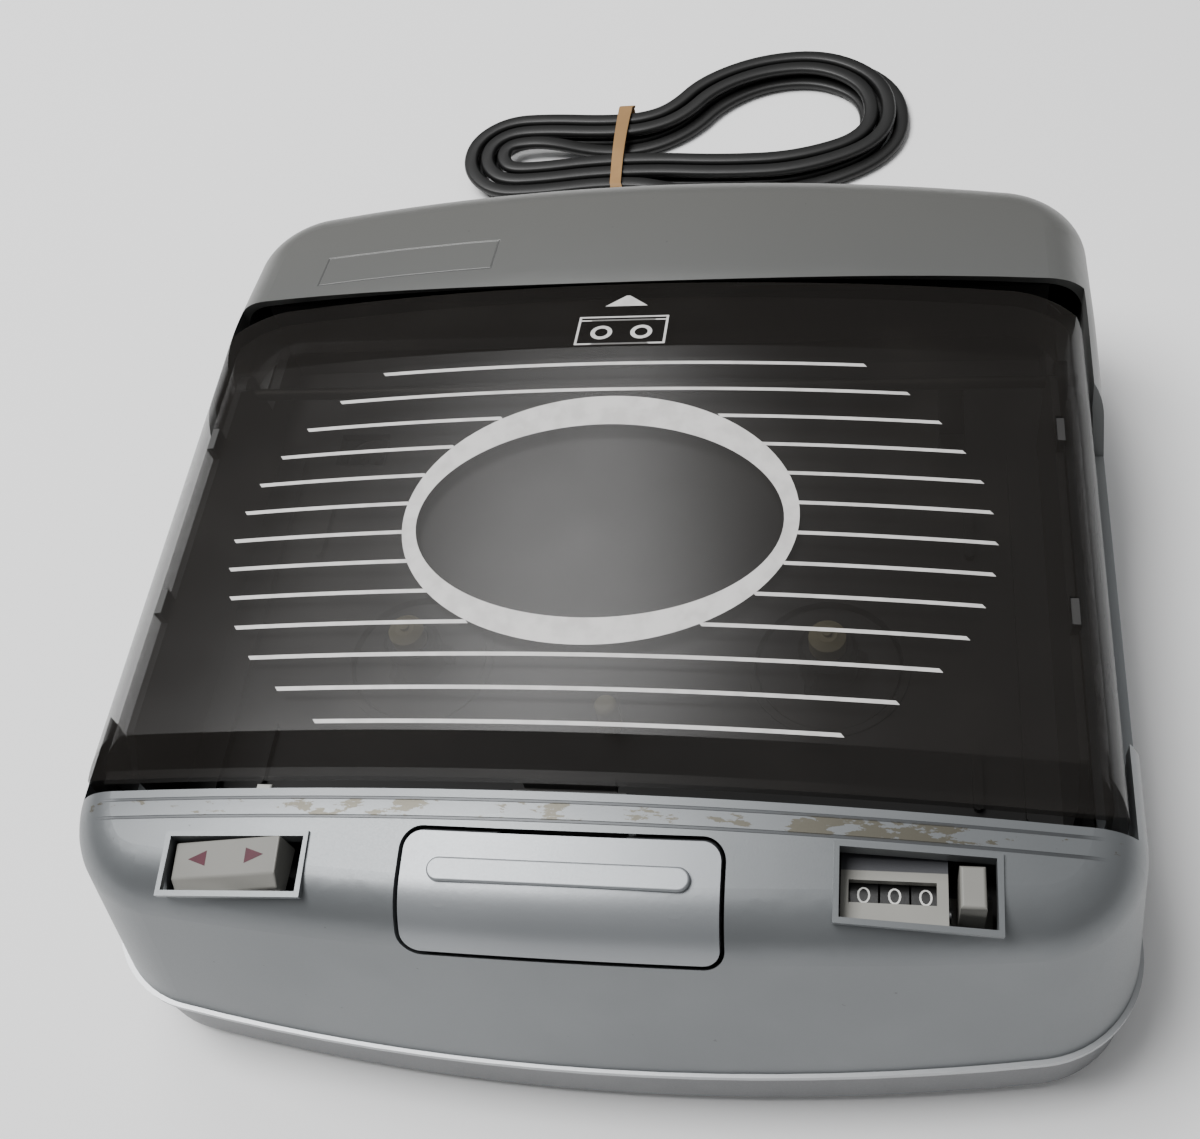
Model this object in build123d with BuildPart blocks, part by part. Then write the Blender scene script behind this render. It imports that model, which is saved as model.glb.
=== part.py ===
"""Video cassette rewinder: a crowned two-part housing with a hinged smoked lid over a cassette bay.

Millimetres. +X to the user's right, +Y to the rear, +Z up. The origin is the bottom centre.
"""

from build123d import *
import os
from math import asin, atan2, cos, degrees, hypot, pi, radians, sin, sqrt, tan

os.makedirs("parts", exist_ok=True)

# ---------------------------------------------------------------- the cassette it takes
cassette_length = 187.0
cassette_depth = 103.0
cassette_height = 25.0
hub_spacing = 94.0

# ---------------------------------------------------------------- housing, overall
housing_depth = 219.0
half_width = 110.0  # at the parting line
front_bow_radius = 540.0  # plan radius of the front face
rear_bow = 3.0  # how far the rear face swells at its middle
front_corner = 24.0
rear_corner = 21.0
front_draft = 13.7  # degrees from vertical
side_draft = 4.2
rear_draft = 3.0
case_wall = 2.4
base_wall = 2.8
rim_radius = 13.0
bead_height = 1.8
bead_step = 0.7
parting_gap = 0.4

# Heights
foot_height = 3.0
floor_thickness = 2.5
base_top = 20.2
crown_top = 78.0
crown_radius = 650.0
panel_height = 72.2  # front panel at its rear edge, on the centre line
panel_slope = 8.1  # degrees
band_height = 73.9  # rear band at its front edge
band_slope = 9.5
sill_height = 46.0
deck_top = 36.0
deck_thickness = 2.5

# Plan positions
hub_y = -22.0
lip_y = -71.4  # rear face of the front lip
groove_y = -76.8
lid_front_y = -69.0
lid_rear_y = 59.0
front_crease_y = -61.7
rear_crease_y = 35.4
front_cheek_y = -52.0
rear_cheek_y = 28.0
band_front_y = 60.0

# ---------------------------------------------------------------- lid
lid_half_width = 103.5
lid_wall = 2.4
lid_side_radius = 10.0
lid_rear_corner = 17.0
lid_draft = 2.0
lid_front_height = 72.6
lid_rear_height = 73.6
lid_lip_bottom = 70.6
lid_gap = 0.8
sill_gap = 0.4
hinge_y = 41.0
hinge_z = 57.0
hinge_rod_radius = 1.5
hinge_boss_radius = 4.5
lid_swing = 30.0
hinge_sweep_gap = 0.6
running_gap = 0.05  # radial, shaft in bore

# ---------------------------------------------------------------- cassette carrier under the lid
cassette_gap = 0.7
rail_thickness = 1.6
rail_foot = 7.0
rail_rear_y = 38.5
cassette_floor = 38.6
rail_tab_y = (16.0, -29.0)
rail_tab_width = 6.0

# ---------------------------------------------------------------- bay and deck tray
bay_half_width = 99.4
tray_wall = 2.5
tray_rear_y = 66.3
tray_rear_top = 62.0
tray_flange = 4.0
ring_radius = 16.2
release_pin_y = -38.0

# ---------------------------------------------------------------- drive
shaft_radius = 2.0
table_radius = 30.0
table_bottom = 24.0
table_thickness = 4.0
table_hub_radius = 15.4
spindle_radius = 6.4
spindle_top = 44.5
cap_radius = 4.0
cap_top = 50.5
drive_y = 8.0
roller_radius = 15.0
idler_radius = 15.0
idler_tyre_thickness = 2.0
idler_gap = 0.1
drive_pulley_radius = 20.0
motor_x = 35.0
motor_y = housing_depth / 2 - 23.5
motor_radius = 16.0
motor_height = 22.0
motor_pulley_radius = 5.0
groove_depth = 1.2
belt_gap = 0.15
belt_thickness = 1.2
belt_height = 2.0
belt_z = 11.5
chassis_bottom = 17.0
chassis_thickness = 1.5

# ---------------------------------------------------------------- front controls
button_half_width = 30.0
button_rear_y = -80.0
button_low_y = -99.5
button_low_z = 60.5
button_corner = 3.5
button_gap = 0.9
button_skirt = 5.0
button_travel = 2.0
rib_half_length = 24.7
rib_width = 4.6
rib_rise = 0.7
rib_y = -87.1
rocker_x = -64.7
rocker_y = -86.7
rocker_length = 24.6
rocker_width = 9.4
rocker_height = 10.5  # top face above its pivot
rocker_tilt = 9.0
rocker_opening = (28.6, 10.6)
counter_x = 64.8
counter_y = -85.4
counter_opening = (27.6, 12.6)
bezel_width = 1.1
bezel_rise = 0.4
wheel_radius = 7.0
wheel_pitch = 5.5
wheel_width = 5.1
wheel_first_x = 55.3
wheel_y = -85.8
wheel_z = 56.0
bracket_bottom = 42.0
bracket_thickness = 1.5

# ---------------------------------------------------------------- fixings
screw_radius = 1.5
screw_head_radius = 3.0
boss_radius = 4.0
foot_radius = 7.0

# ---------------------------------------------------------------- derived values
half_depth = housing_depth / 2
base_bottom = foot_height
floor_top = base_bottom + floor_thickness
case_bottom = base_top + parting_gap
bead_top = case_bottom + bead_height
crown_centre_z = crown_top - crown_radius
cassette_half = cassette_length / 2
deck_bottom = deck_top - deck_thickness
chassis_top = chassis_bottom + chassis_thickness
bracket_top = bracket_bottom + bracket_thickness
loft_top = 80.0
hinge_reach = hypot(lid_rear_y - hinge_y, lid_rear_height - hinge_z)
crown_axis = Axis((0, 0, crown_centre_z), (0, 1, 0))
roof_half_angle = 11.5
roof_blend = 60.0


def crown_drop(x):
    """Fall of the crowned surfaces at a distance from the centre line."""
    return crown_radius - sqrt(crown_radius**2 - x**2)


# ================================================================ shared shapes
def plan_outline(inset):
    """Housing outline in plan at the parting line, drawn in by an inset."""
    half = half_width - inset
    front = inset - half_depth
    rear = half_depth - inset
    front_end = front + front_bow_radius - sqrt(front_bow_radius**2 - half**2)
    rear_end = rear - rear_bow
    with BuildSketch() as plan:
        with BuildLine():
            ThreePointArc((-half, front_end), (0, front), (half, front_end))
            Line((half, front_end), (half, rear_end))
            ThreePointArc((half, rear_end), (0, rear), (-half, rear_end))
            Line((-half, rear_end), (-half, front_end))
        make_face()
        fillet(plan.vertices().group_by(Axis.Y)[0], front_corner - inset)
        fillet(plan.vertices().group_by(Axis.Y)[-1], rear_corner - inset)
    return plan.sketch


def crown_plane(angle):
    """Upright plane through the crown's axis, turned from the centre line; its y is a radius."""
    return Plane(
        origin=(0, 0, crown_centre_z),
        x_dir=(0, 1, 0),
        z_dir=(cos(radians(angle)), 0, -sin(radians(angle))),
    )


def arched_block(side_profile):
    """Side view carried along the crown's arc, so that every top line is arched across the case."""
    with BuildPart() as arched:
        with BuildSketch(crown_plane(-roof_half_angle)):
            with BuildLine():
                Polyline(*[(y, z - crown_centre_z) for y, z in side_profile], close=True)
            make_face()
        revolve(axis=crown_axis, revolution_arc=2 * roof_half_angle)
    return arched.part


def case_walls(inset, bottom):
    """Drafted outer walls: two bowed faces that lean in, flat sides and rolled corners."""
    reach = half_width + 30
    step = bead_step + inset
    lean_back = Plane(
        origin=(0, step - half_depth, bead_top),
        x_dir=(1, 0, 0),
        z_dir=(0, sin(radians(front_draft)), cos(radians(front_draft))),
    )
    lean_forward = Plane(
        origin=(0, half_depth - step, bead_top),
        x_dir=(1, 0, 0),
        z_dir=(0, -sin(radians(rear_draft)), cos(radians(rear_draft))),
    )
    rear_bow_radius = (half_width**2 + rear_bow**2) / (2 * rear_bow)
    with BuildPart() as walls:
        for leaning, bow, side in ((lean_back, front_bow_radius, 1), (lean_forward, rear_bow_radius, -1)):
            sag = bow - sqrt(bow**2 - reach**2)
            with BuildSketch(leaning.offset(-60)):
                with BuildLine():
                    face = ThreePointArc((-reach, side * sag), (0, 0), (reach, side * sag))
                    far = side * (housing_depth + 40)
                    Polyline(face @ 1, (reach, far), (-reach, far), face @ 0)
                make_face()
            extrude(amount=180, mode=Mode.ADD if side > 0 else Mode.INTERSECT)
        with BuildSketch(Plane.XZ.offset(-half_depth - 20)):
            with BuildLine():
                low = half_width - step + (bead_top + 40) * tan(radians(side_draft))
                high = half_width - step - (100 - bead_top) * tan(radians(side_draft))
                Polyline((-low, -40), (low, -40), (high, 100), (-high, 100), close=True)
            make_face()
        extrude(amount=housing_depth + 40, mode=Mode.INTERSECT)
        for end, radius in ((-1, front_corner), (1, rear_corner)):
            uprights = walls.edges().filter_by(
                lambda e: abs(e.center().X) > 95
                and end * e.center().Y > 80
                and abs((e @ 1 - e @ 0).Z) > 50
            )
            fillet(uprights, radius - inset)
        split(bisect_by=Plane.XY.offset(bottom))
    return walls.part


def case_block(inset, bottom):
    """Outside of the top case above its bead, or its cavity when inset by the wall."""
    reach = half_depth + 20
    panel_front = panel_height - (reach + groove_y) * tan(radians(panel_slope))
    band_rear = band_height - (reach - band_front_y) * tan(radians(band_slope))
    start = crown_plane(-roof_half_angle)
    lower = inset + crown_centre_z
    with BuildPart() as roof:
        with BuildSketch(start):
            with BuildLine():
                top = FilletPolyline(
                    (-reach, -20 - lower),
                    (-reach, panel_front - lower),
                    (groove_y, panel_height - lower),
                    (band_front_y, band_height - lower),
                    (reach, band_rear - lower),
                    (reach, -20 - lower),
                    radius=[0.5, roof_blend, roof_blend, 0.5],
                )
                Line(top @ 1, top @ 0)
            make_face()
        revolve(axis=crown_axis, revolution_arc=2 * roof_half_angle)
    with BuildPart() as block:
        add(case_walls(inset, bottom))
        add(roof.part, mode=Mode.INTERSECT)
        outer = block.edges().filter_by(
            lambda e: e.center().Z > sill_height
            and (abs(e.center().X) > 88 or abs(e.center().Y) > 90)
        )
        fillet(outer, rim_radius - inset)
    return block.part


def lid_block(inset):
    """Outside of the lid, or its cavity when inset by the wall."""
    half_low = lid_half_width - inset
    half_top = half_low - (crown_top - sill_height) * tan(radians(lid_draft))
    shoulder = crown_top - crown_drop(half_top) - inset
    rear_face = arched_block(
        [
            (lid_front_y + inset, 0),
            (lid_front_y + inset, lid_front_height - inset),
            (front_crease_y + inset / 2, crown_top - inset),
            (rear_crease_y - inset / 2, crown_top - inset),
            (lid_rear_y - inset, lid_rear_height - inset),
            (lid_rear_y - inset, 0),
        ]
    )
    with BuildPart() as block:
        with BuildSketch(Plane.XZ.offset(-lid_rear_y + inset)) as front_view:
            with BuildLine():
                ThreePointArc((-half_top, shoulder), (0, crown_top - inset), (half_top, shoulder))
                Polyline(
                    (half_top, shoulder),
                    (half_low, sill_height),
                    (-half_low, sill_height),
                    (-half_top, shoulder),
                )
            make_face()
            fillet(front_view.vertices().group_by(Axis.Y)[-1], lid_side_radius - inset)
        extrude(amount=lid_rear_y - lid_front_y - 2 * inset)
        with BuildSketch(Plane.XY.offset(sill_height)) as plan:
            with BuildLine():
                Polyline(
                    (-half_low, lid_front_y),
                    (half_low, lid_front_y),
                    (half_low, lid_rear_y - inset),
                    (-half_low, lid_rear_y - inset),
                    close=True,
                )
            make_face()
            fillet(plan.vertices().group_by(Axis.Y)[-1], lid_rear_corner - inset)
        extrude(amount=loft_top - sill_height, mode=Mode.INTERSECT)
        add(rear_face, mode=Mode.INTERSECT)
    return block.part


def panel_point(x, y):
    """Height of the front panel's outer surface."""
    return panel_height + (y - groove_y) * tan(radians(panel_slope)) - crown_drop(x)


def panel_plane(x, y):
    """Plane that touches the front panel at a point, with x across and y to the rear."""
    lean = asin(x / crown_radius)
    across = Vector(cos(lean), 0, -sin(lean))
    back = Vector(0, cos(radians(panel_slope)), sin(radians(panel_slope)))
    return Plane(origin=(x, y, panel_point(x, y)), x_dir=across, z_dir=across.cross(back))


case_outside = case_block(0, bead_top)
case_inside = case_block(case_wall, case_bottom - 1)

# Eject button: a rounded rectangle seen square to the front shoulder.
button_rear_z = panel_point(0, button_rear_y)
button_chord = hypot(button_low_y - button_rear_y, button_low_z - button_rear_z)
button_normal = Vector(0, button_low_z - button_rear_z, button_rear_y - button_low_y).normalized()
button_plane = Plane(
    origin=(0, (button_low_y + button_rear_y) / 2, (button_low_z + button_rear_z) / 2),
    x_dir=(1, 0, 0),
    z_dir=button_normal,
)


def button_prism(margin, depth, rise=14.0):
    """Block through the shoulder with the button's outline, grown by a margin."""
    with BuildPart() as prism:
        with BuildSketch(button_plane.offset(-depth)):
            RectangleRounded(
                2 * (button_half_width + margin),
                button_chord + 2 * margin,
                button_corner + margin,
            )
        extrude(amount=depth + rise)
    return prism.part


control_openings = [
    (rocker_x, rocker_y, rocker_opening),
    (counter_x, counter_y, counter_opening),
]
case_screw_places = [(-92, -84), (92, -84), (-92, 88), (92, 88)]

# ================================================================ base case
base_inset = bead_step + 0.2
tongue_inset = bead_step + case_wall + 0.3
cord_exit_x = -62.0
cord_exit_z = 10.9
relief_radius = 3.9
chassis_posts = [(-78, -52), (78, -52), (-78, 50), (78, 50), (19, 98), (62, 74)]
board_front_y = half_depth - 33.5  # front row of posts
board_rear_y = half_depth - 9.5
board_posts = [(x, y) for y in (board_front_y, board_rear_y) for x in (-26, 4)]
board_z = 14.0
transformer_x = -(half_width - 52)
transformer_y = half_depth - 23.5

with BuildPart() as base_case:
    with BuildSketch(Plane.XY.offset(base_bottom)):
        add(plan_outline(base_inset))
    extrude(amount=base_top - base_bottom)
    chamfer(base_case.edges().group_by(Axis.Z)[0], 1.6)
    with BuildSketch(Plane.XY.offset(floor_top)):
        add(plan_outline(base_inset + base_wall))
    extrude(amount=base_top, mode=Mode.SUBTRACT)
    with BuildSketch(Plane.XY.offset(base_top - 4.0)):
        add(plan_outline(tongue_inset))
        add(plan_outline(tongue_inset + 1.4), mode=Mode.SUBTRACT)
    extrude(amount=4.0 + bead_height)
    with BuildSketch(Plane.XY.offset(base_top)):
        with Locations(*case_screw_places):
            Circle(boss_radius + 0.5)
    extrude(amount=4.0, mode=Mode.SUBTRACT)
    with BuildSketch(Plane.XY.offset(floor_top)):
        with Locations(*case_screw_places):
            Circle(boss_radius)
    extrude(amount=base_top - floor_top)
    with BuildSketch(Plane.XY.offset(floor_top)):
        with Locations(*chassis_posts):
            Circle(boss_radius)
    extrude(amount=chassis_bottom - floor_top)
    with BuildSketch(Plane.XY.offset(floor_top)):
        with Locations(*board_posts):
            Circle(2.6)
    extrude(amount=board_z - floor_top)
    with BuildSketch(Plane.XY.offset(floor_top + 1)):
        with Locations(*chassis_posts):
            Circle(screw_radius)
    extrude(amount=chassis_bottom, mode=Mode.SUBTRACT)
    with BuildSketch(Plane.XY.offset(base_bottom)):
        with Locations(*case_screw_places):
            Circle(screw_radius + 0.2)
    extrude(amount=base_top, mode=Mode.SUBTRACT)
    with BuildSketch(Plane.XY.offset(base_bottom)):
        with Locations(*case_screw_places):
            Circle(screw_head_radius + 0.4)
    extrude(amount=8.0, mode=Mode.SUBTRACT)
    # recesses that hold the rubber feet
    with BuildSketch(Plane.XY.offset(base_bottom)):
        with GridLocations(160, 150, 2, 2):
            Circle(foot_radius)
    extrude(amount=1.0, mode=Mode.SUBTRACT)
    # cooling slots under the motor
    with BuildSketch(Plane.XY.offset(base_bottom)):
        with Locations((motor_x, motor_y)):
            with GridLocations(5, 0, 5, 1):
                SlotOverall(22, 2.2, rotation=90)
    extrude(amount=floor_thickness, mode=Mode.SUBTRACT)
    # half of the hole for the cord's strain relief
    with BuildSketch(Plane.XZ.offset(-half_depth - 5)):
        with Locations((cord_exit_x, cord_exit_z)):
            Circle(relief_radius)
    extrude(amount=14, mode=Mode.SUBTRACT)

base_case.part.label = "base_case"
export_step(base_case.part, "parts/base_case.step")

# ================================================================ top case
sill_bottom = sill_height - case_wall
bay_depth = tray_rear_y + tray_wall + 0.4 - lip_y
latch_half_width = 11.0
latch_window_z = 62.9
latch_window_height = 16.0
latch_window_depth = 7.8

with BuildPart() as case_bosses:
    with BuildSketch(Plane.XY.offset(bead_top)):
        with Locations(*case_screw_places):
            Circle(boss_radius)
    extrude(amount=crown_top)
    add(case_outside, mode=Mode.INTERSECT)
    with BuildSketch(Plane.XY.offset(base_top)):
        with Locations(*case_screw_places):
            Circle(boss_radius)
    extrude(amount=bead_top - base_top)
    with BuildSketch(Plane.XY.offset(base_top)):
        with Locations(*case_screw_places):
            Circle(screw_radius)
    extrude(amount=14, mode=Mode.SUBTRACT)

with BuildPart() as bay_walls:
    with BuildSketch(Plane.XY.offset(sill_bottom)):
        with Locations((0, lip_y - case_wall)):
            Rectangle(2 * half_width, bay_depth + 2 * case_wall, align=(Align.CENTER, Align.MIN))
        with Locations((0, lip_y)):
            Rectangle(2 * bay_half_width, bay_depth, align=(Align.CENTER, Align.MIN), mode=Mode.SUBTRACT)
    extrude(amount=case_wall)
    with BuildSketch(Plane.XY.offset(deck_bottom)):
        with Locations((0, lip_y - case_wall / 2)):
            Rectangle(2 * half_width, case_wall)
    extrude(amount=crown_top - deck_bottom)
    add(case_outside, mode=Mode.INTERSECT)

with BuildPart() as top_case:
    with BuildSketch(Plane.XY.offset(case_bottom)):
        add(plan_outline(0))
    extrude(amount=bead_height)
    add(case_outside)
    add(case_inside, mode=Mode.SUBTRACT)
    add(bay_walls.part)
    add(case_bosses.part)
    # bay for the lid: open across the sides, with a cheek beside each end of the lid
    with BuildSketch(Plane.YZ.offset(-half_width - 5)):
        with BuildLine():
            Polyline(
                (front_cheek_y, sill_height),
                (rear_cheek_y, sill_height),
                (hinge_y + 2, lid_rear_height),
                (hinge_y + 2, crown_top + 10),
                (front_cheek_y, crown_top + 10),
                close=True,
            )
        make_face()
    extrude(amount=2 * half_width + 10, mode=Mode.SUBTRACT)
    with BuildSketch(Plane.XY.offset(sill_height)) as bay_plan:
        with Locations((0, (lip_y + hinge_y) / 2)):
            Rectangle(2 * (lid_half_width + lid_gap), hinge_y - lip_y)
    extrude(amount=crown_top, mode=Mode.SUBTRACT)
    with BuildSketch(Plane.YZ.offset(-lid_half_width - lid_gap)):
        with Locations((hinge_y, hinge_z)):
            Circle(hinge_reach + hinge_sweep_gap)
        with Locations((hinge_y, sill_height - 20)):
            Rectangle(80, 40, mode=Mode.SUBTRACT)
    extrude(amount=2 * (lid_half_width + lid_gap), mode=Mode.SUBTRACT)
    # raised rims round the two small openings, then the openings
    for x, y, size in control_openings:
        with BuildSketch(panel_plane(x, y).offset(-1.0)):
            Rectangle(size[0] + 2 * bezel_width, size[1] + 2 * bezel_width)
        extrude(amount=1.0 + bezel_rise)
        with Locations((x, y, panel_height)):
            Box(size[0], size[1], 2 * rim_radius, mode=Mode.SUBTRACT)
    add(button_prism(button_gap, 9), mode=Mode.SUBTRACT)
    # window for the latch
    with Locations((0, lip_y + 0.3, latch_window_z)):
        Box(
            2 * latch_half_width + 2,
            latch_window_depth,
            latch_window_height,
            align=(Align.CENTER, Align.MAX, Align.CENTER),
            mode=Mode.SUBTRACT,
        )

top_case.part.label = "top_case"
export_step(top_case.part, "parts/top_case.step")

# ================================================================ lid
hinge_rod_reach = 101.2
rail_outer = cassette_half + cassette_gap + rail_thickness
rail_middle = rail_outer - rail_thickness / 2
tab_clear = 0.15

with BuildPart() as lid:
    add(lid_block(0))
    add(lid_block(lid_wall), mode=Mode.SUBTRACT)
    # the front stays open below the bevel, so that a cassette can slide in
    with BuildSketch(Plane.XZ.offset(-lid_front_y - 8)):
        with BuildLine():
            edge = ThreePointArc(
                (-bay_half_width, lid_lip_bottom - crown_drop(bay_half_width)),
                (0, lid_lip_bottom),
                (bay_half_width, lid_lip_bottom - crown_drop(bay_half_width)),
            )
            Polyline(edge @ 1, (bay_half_width, 0), (-bay_half_width, 0), edge @ 0)
        make_face()
    extrude(amount=16, mode=Mode.SUBTRACT)
    # bosses on the side skirts that turn on the hinge rod
    for side in (-1, 1):
        with BuildSketch(Plane.YZ.offset(side * 100.4)):
            with Locations((hinge_y, hinge_z)):
                Circle(hinge_boss_radius)
        extrude(amount=1.1, both=True)
    with BuildSketch(Plane.YZ.offset(-hinge_rod_reach - 0.3)):
        with Locations((hinge_y, hinge_z)):
            Circle(hinge_rod_radius + running_gap)
    extrude(amount=2 * hinge_rod_reach + 0.6, mode=Mode.SUBTRACT)
    # behind the hinge the lower edge rises by the lid's swing, to clear the sill when open
    with BuildSketch(Plane.YZ.offset(-lid_half_width - 1)):
        with BuildLine():
            Polyline(
                (hinge_y, sill_height),
                (hinge_y + 20, sill_height + 20 * tan(radians(lid_swing))),
                (hinge_y + 20, sill_height),
                close=True,
            )
        make_face()
    extrude(amount=2 * lid_half_width + 2, mode=Mode.SUBTRACT)
    # slots for the carrier's tabs
    with BuildSketch(Plane.XY.offset(sill_height + 10)):
        for side in (-1, 1):
            with Locations(*[(side * rail_middle, y) for y in rail_tab_y]):
                Rectangle(rail_thickness + 2 * tab_clear, rail_tab_width + 2 * tab_clear)
    extrude(amount=40, mode=Mode.SUBTRACT)
    with Locations((0, 0, sill_height)):
        Box(300, 300, 2 * sill_gap, mode=Mode.SUBTRACT)

lid.part.label = "lid"
export_step(lid.part, "parts/lid.step")

# ================================================================ cassette carrier under the lid
rail_inner = cassette_half + cassette_gap
rail_bottom = cassette_floor - rail_thickness
rail_top = crown_top - lid_wall - crown_drop(rail_outer) - 1.8
rail_front_y = lid_front_y + 4.0

for side, hand in ((-1, "left"), (1, "right")):
    with BuildPart() as rail:
        with BuildSketch(Plane.YZ.offset(side * rail_middle)):
            with BuildLine():
                Polyline(
                    (rail_front_y, rail_bottom),
                    (rail_rear_y, rail_bottom),
                    (rail_rear_y, rail_top - 5.0),
                    (rail_rear_y - 5.0, rail_top),
                    (front_crease_y + 3.0, rail_top),
                    (rail_front_y, rail_top - 7.0),
                    close=True,
                )
            make_face()
        extrude(amount=rail_thickness / 2, both=True)
        # foot that carries the cassette, cut back at the front to lead it in
        with BuildSketch(Plane.XY.offset(rail_bottom)):
            with BuildLine():
                Polyline(
                    (side * rail_outer, rail_front_y),
                    (side * (rail_inner - 1.5), rail_front_y),
                    (side * (rail_inner - rail_foot), rail_front_y + rail_foot),
                    (side * (rail_inner - rail_foot), rail_rear_y - 4.0),
                    (side * rail_outer, rail_rear_y - 4.0),
                    close=True,
                )
            make_face()
        extrude(amount=rail_thickness)
        # tabs that clip through the lid
        with BuildSketch(Plane.XY.offset(rail_top)):
            with Locations(*[(side * rail_middle, y) for y in rail_tab_y]):
                Rectangle(rail_thickness, rail_tab_width)
        extrude(amount=4.0)
    rail.part.label = f"cassette_rail_{hand}"
    export_step(rail.part, f"parts/cassette_rail_{hand}.step")

# Catch under the lid's front edge, held down by the latch
catch_top = 67.9
catch_thickness = 1.2
catch_half_width = 9.0
catch_tip_y = -70.9

with BuildPart() as lid_catch:
    with BuildSketch(Plane.YZ.offset(-catch_half_width)):
        with BuildLine():
            Polyline(
                (catch_tip_y, catch_top),
                (catch_tip_y, catch_top - catch_thickness),
                (lid_front_y + 1.8, catch_top - catch_thickness),
                (lid_front_y + 1.8, lid_lip_bottom - 0.1),
                (lid_front_y + 0.2, lid_lip_bottom - 0.1),
                (lid_front_y + 0.2, catch_top),
                close=True,
            )
        make_face()
    extrude(amount=2 * catch_half_width)

lid_catch.part.label = "lid_catch"
export_step(lid_catch.part, "parts/lid_catch.step")

# ================================================================ deck tray
tray_inner = bay_half_width - 0.4 - tray_wall
tray_front_y = lip_y + 0.2
spindle_places = [(-hub_spacing / 2, hub_y), (hub_spacing / 2, hub_y)]

with BuildPart() as deck_tray:
    with BuildSketch(Plane.XY.offset(deck_bottom)):
        with Locations((0, (tray_front_y + tray_rear_y + tray_wall) / 2)):
            Rectangle(2 * (tray_inner + tray_wall), tray_rear_y + tray_wall - tray_front_y)
    extrude(amount=deck_thickness)
    # side walls, with a hanging flange outside and a tall ear at each hinge
    for side in (-1, 1):
        with BuildSketch(Plane.YZ.offset(side * tray_inner)):
            with BuildLine():
                Polyline(
                    (tray_front_y, deck_bottom),
                    (tray_rear_y + tray_wall, deck_bottom),
                    (tray_rear_y + tray_wall, sill_height - 0.5),
                    (tray_front_y, sill_height - 0.5),
                    close=True,
                )
            make_face()
            with BuildLine():
                Polyline(
                    (hinge_y - hinge_boss_radius, deck_top),
                    (hinge_y - hinge_boss_radius, hinge_z),
                    (hinge_y + hinge_boss_radius, hinge_z),
                    (hinge_y + hinge_boss_radius, deck_top),
                    close=True,
                )
            make_face()
            with Locations((hinge_y, hinge_z)):
                Circle(hinge_boss_radius)
        extrude(amount=side * tray_wall)
        with BuildSketch(Plane.XY.offset(sill_bottom - tray_wall)):
            with Locations((side * (tray_inner + tray_wall + tray_flange / 2), 0)):
                Rectangle(tray_flange, 118)
        extrude(amount=tray_wall)
    # rear wall closes the bay from the motor space
    with BuildSketch(Plane.XZ.offset(-tray_rear_y - tray_wall)):
        with BuildLine():
            Polyline(
                (-tray_inner, deck_bottom),
                (tray_inner, deck_bottom),
                (tray_inner, tray_rear_top),
                (-tray_inner, tray_rear_top),
                close=True,
            )
        make_face()
    extrude(amount=tray_wall)
    # raised ring and hole for each reel table
    with BuildSketch(Plane.XY.offset(deck_top)):
        with Locations(*spindle_places):
            Circle(ring_radius + 1.6)
    extrude(amount=0.6)
    with BuildSketch(Plane.XY.offset(deck_bottom)):
        with Locations(*spindle_places):
            Circle(ring_radius)
    extrude(amount=deck_thickness + 0.6, mode=Mode.SUBTRACT)
    # low ribs where the cassette's ends come down
    with BuildSketch(Plane.XY.offset(deck_top)):
        with Locations(*[(side * 78, y) for side in (-1, 1) for y in (-48, 14)]):
            SlotOverall(16, 2.0, rotation=90)
    extrude(amount=1.6)
    # windows in the rear corners
    with BuildSketch(Plane.XY.offset(deck_bottom)):
        with Locations((-73.5, 40)):
            Rectangle(13, 10)
        with Locations((75, 47.5)):
            Rectangle(6, 19)
    extrude(amount=deck_thickness, mode=Mode.SUBTRACT)
    # seat of the brake release pin, and the pin bores of the hinge
    with BuildSketch(Plane.XY.offset(deck_bottom)):
        with Locations((0, release_pin_y)):
            Circle(2.5)
    extrude(amount=deck_thickness, mode=Mode.SUBTRACT)
    with BuildSketch(Plane.YZ.offset(-110)):
        with Locations((hinge_y, hinge_z)):
            Circle(hinge_rod_radius)
    extrude(amount=220, mode=Mode.SUBTRACT)

deck_tray.part.label = "deck_tray"
export_step(deck_tray.part, "parts/deck_tray.step")

with BuildPart() as hinge_rod:
    with BuildSketch(Plane.YZ.offset(-hinge_rod_reach)):
        with Locations((hinge_y, hinge_z)):
            Circle(hinge_rod_radius)
    extrude(amount=2 * hinge_rod_reach)
    chamfer(hinge_rod.edges().filter_by(GeomType.CIRCLE), 0.3)

hinge_rod.part.label = "hinge_rod"
export_step(hinge_rod.part, "parts/hinge_rod.step")

with BuildPart() as brake_release_pin:
    with BuildSketch(Plane.XY.offset(deck_bottom)):
        with Locations((0, release_pin_y)):
            Circle(2.5)
    extrude(amount=46.0 - deck_bottom)
    with BuildSketch(Plane.XY.offset(deck_bottom - 1.0)):
        with Locations((0, release_pin_y)):
            Circle(4.0)
    extrude(amount=1.0)
    fillet(brake_release_pin.edges().group_by(Axis.Z)[-1], 1.2)

brake_release_pin.part.label = "brake_release_pin"
export_step(brake_release_pin.part, "parts/brake_release_pin.step")

# Soft stop that the lid's front edge rests on, in the gap behind the lip
with BuildPart() as lid_stop:
    with Locations((-62.0, lip_y + 0.8, 65.5)):
        Box(3.2, 1.6, 5.0)
    fillet(lid_stop.edges().group_by(Axis.Z)[-1], 0.5)

lid_stop.part.label = "lid_stop"
export_step(lid_stop.part, "parts/lid_stop.step")

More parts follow.
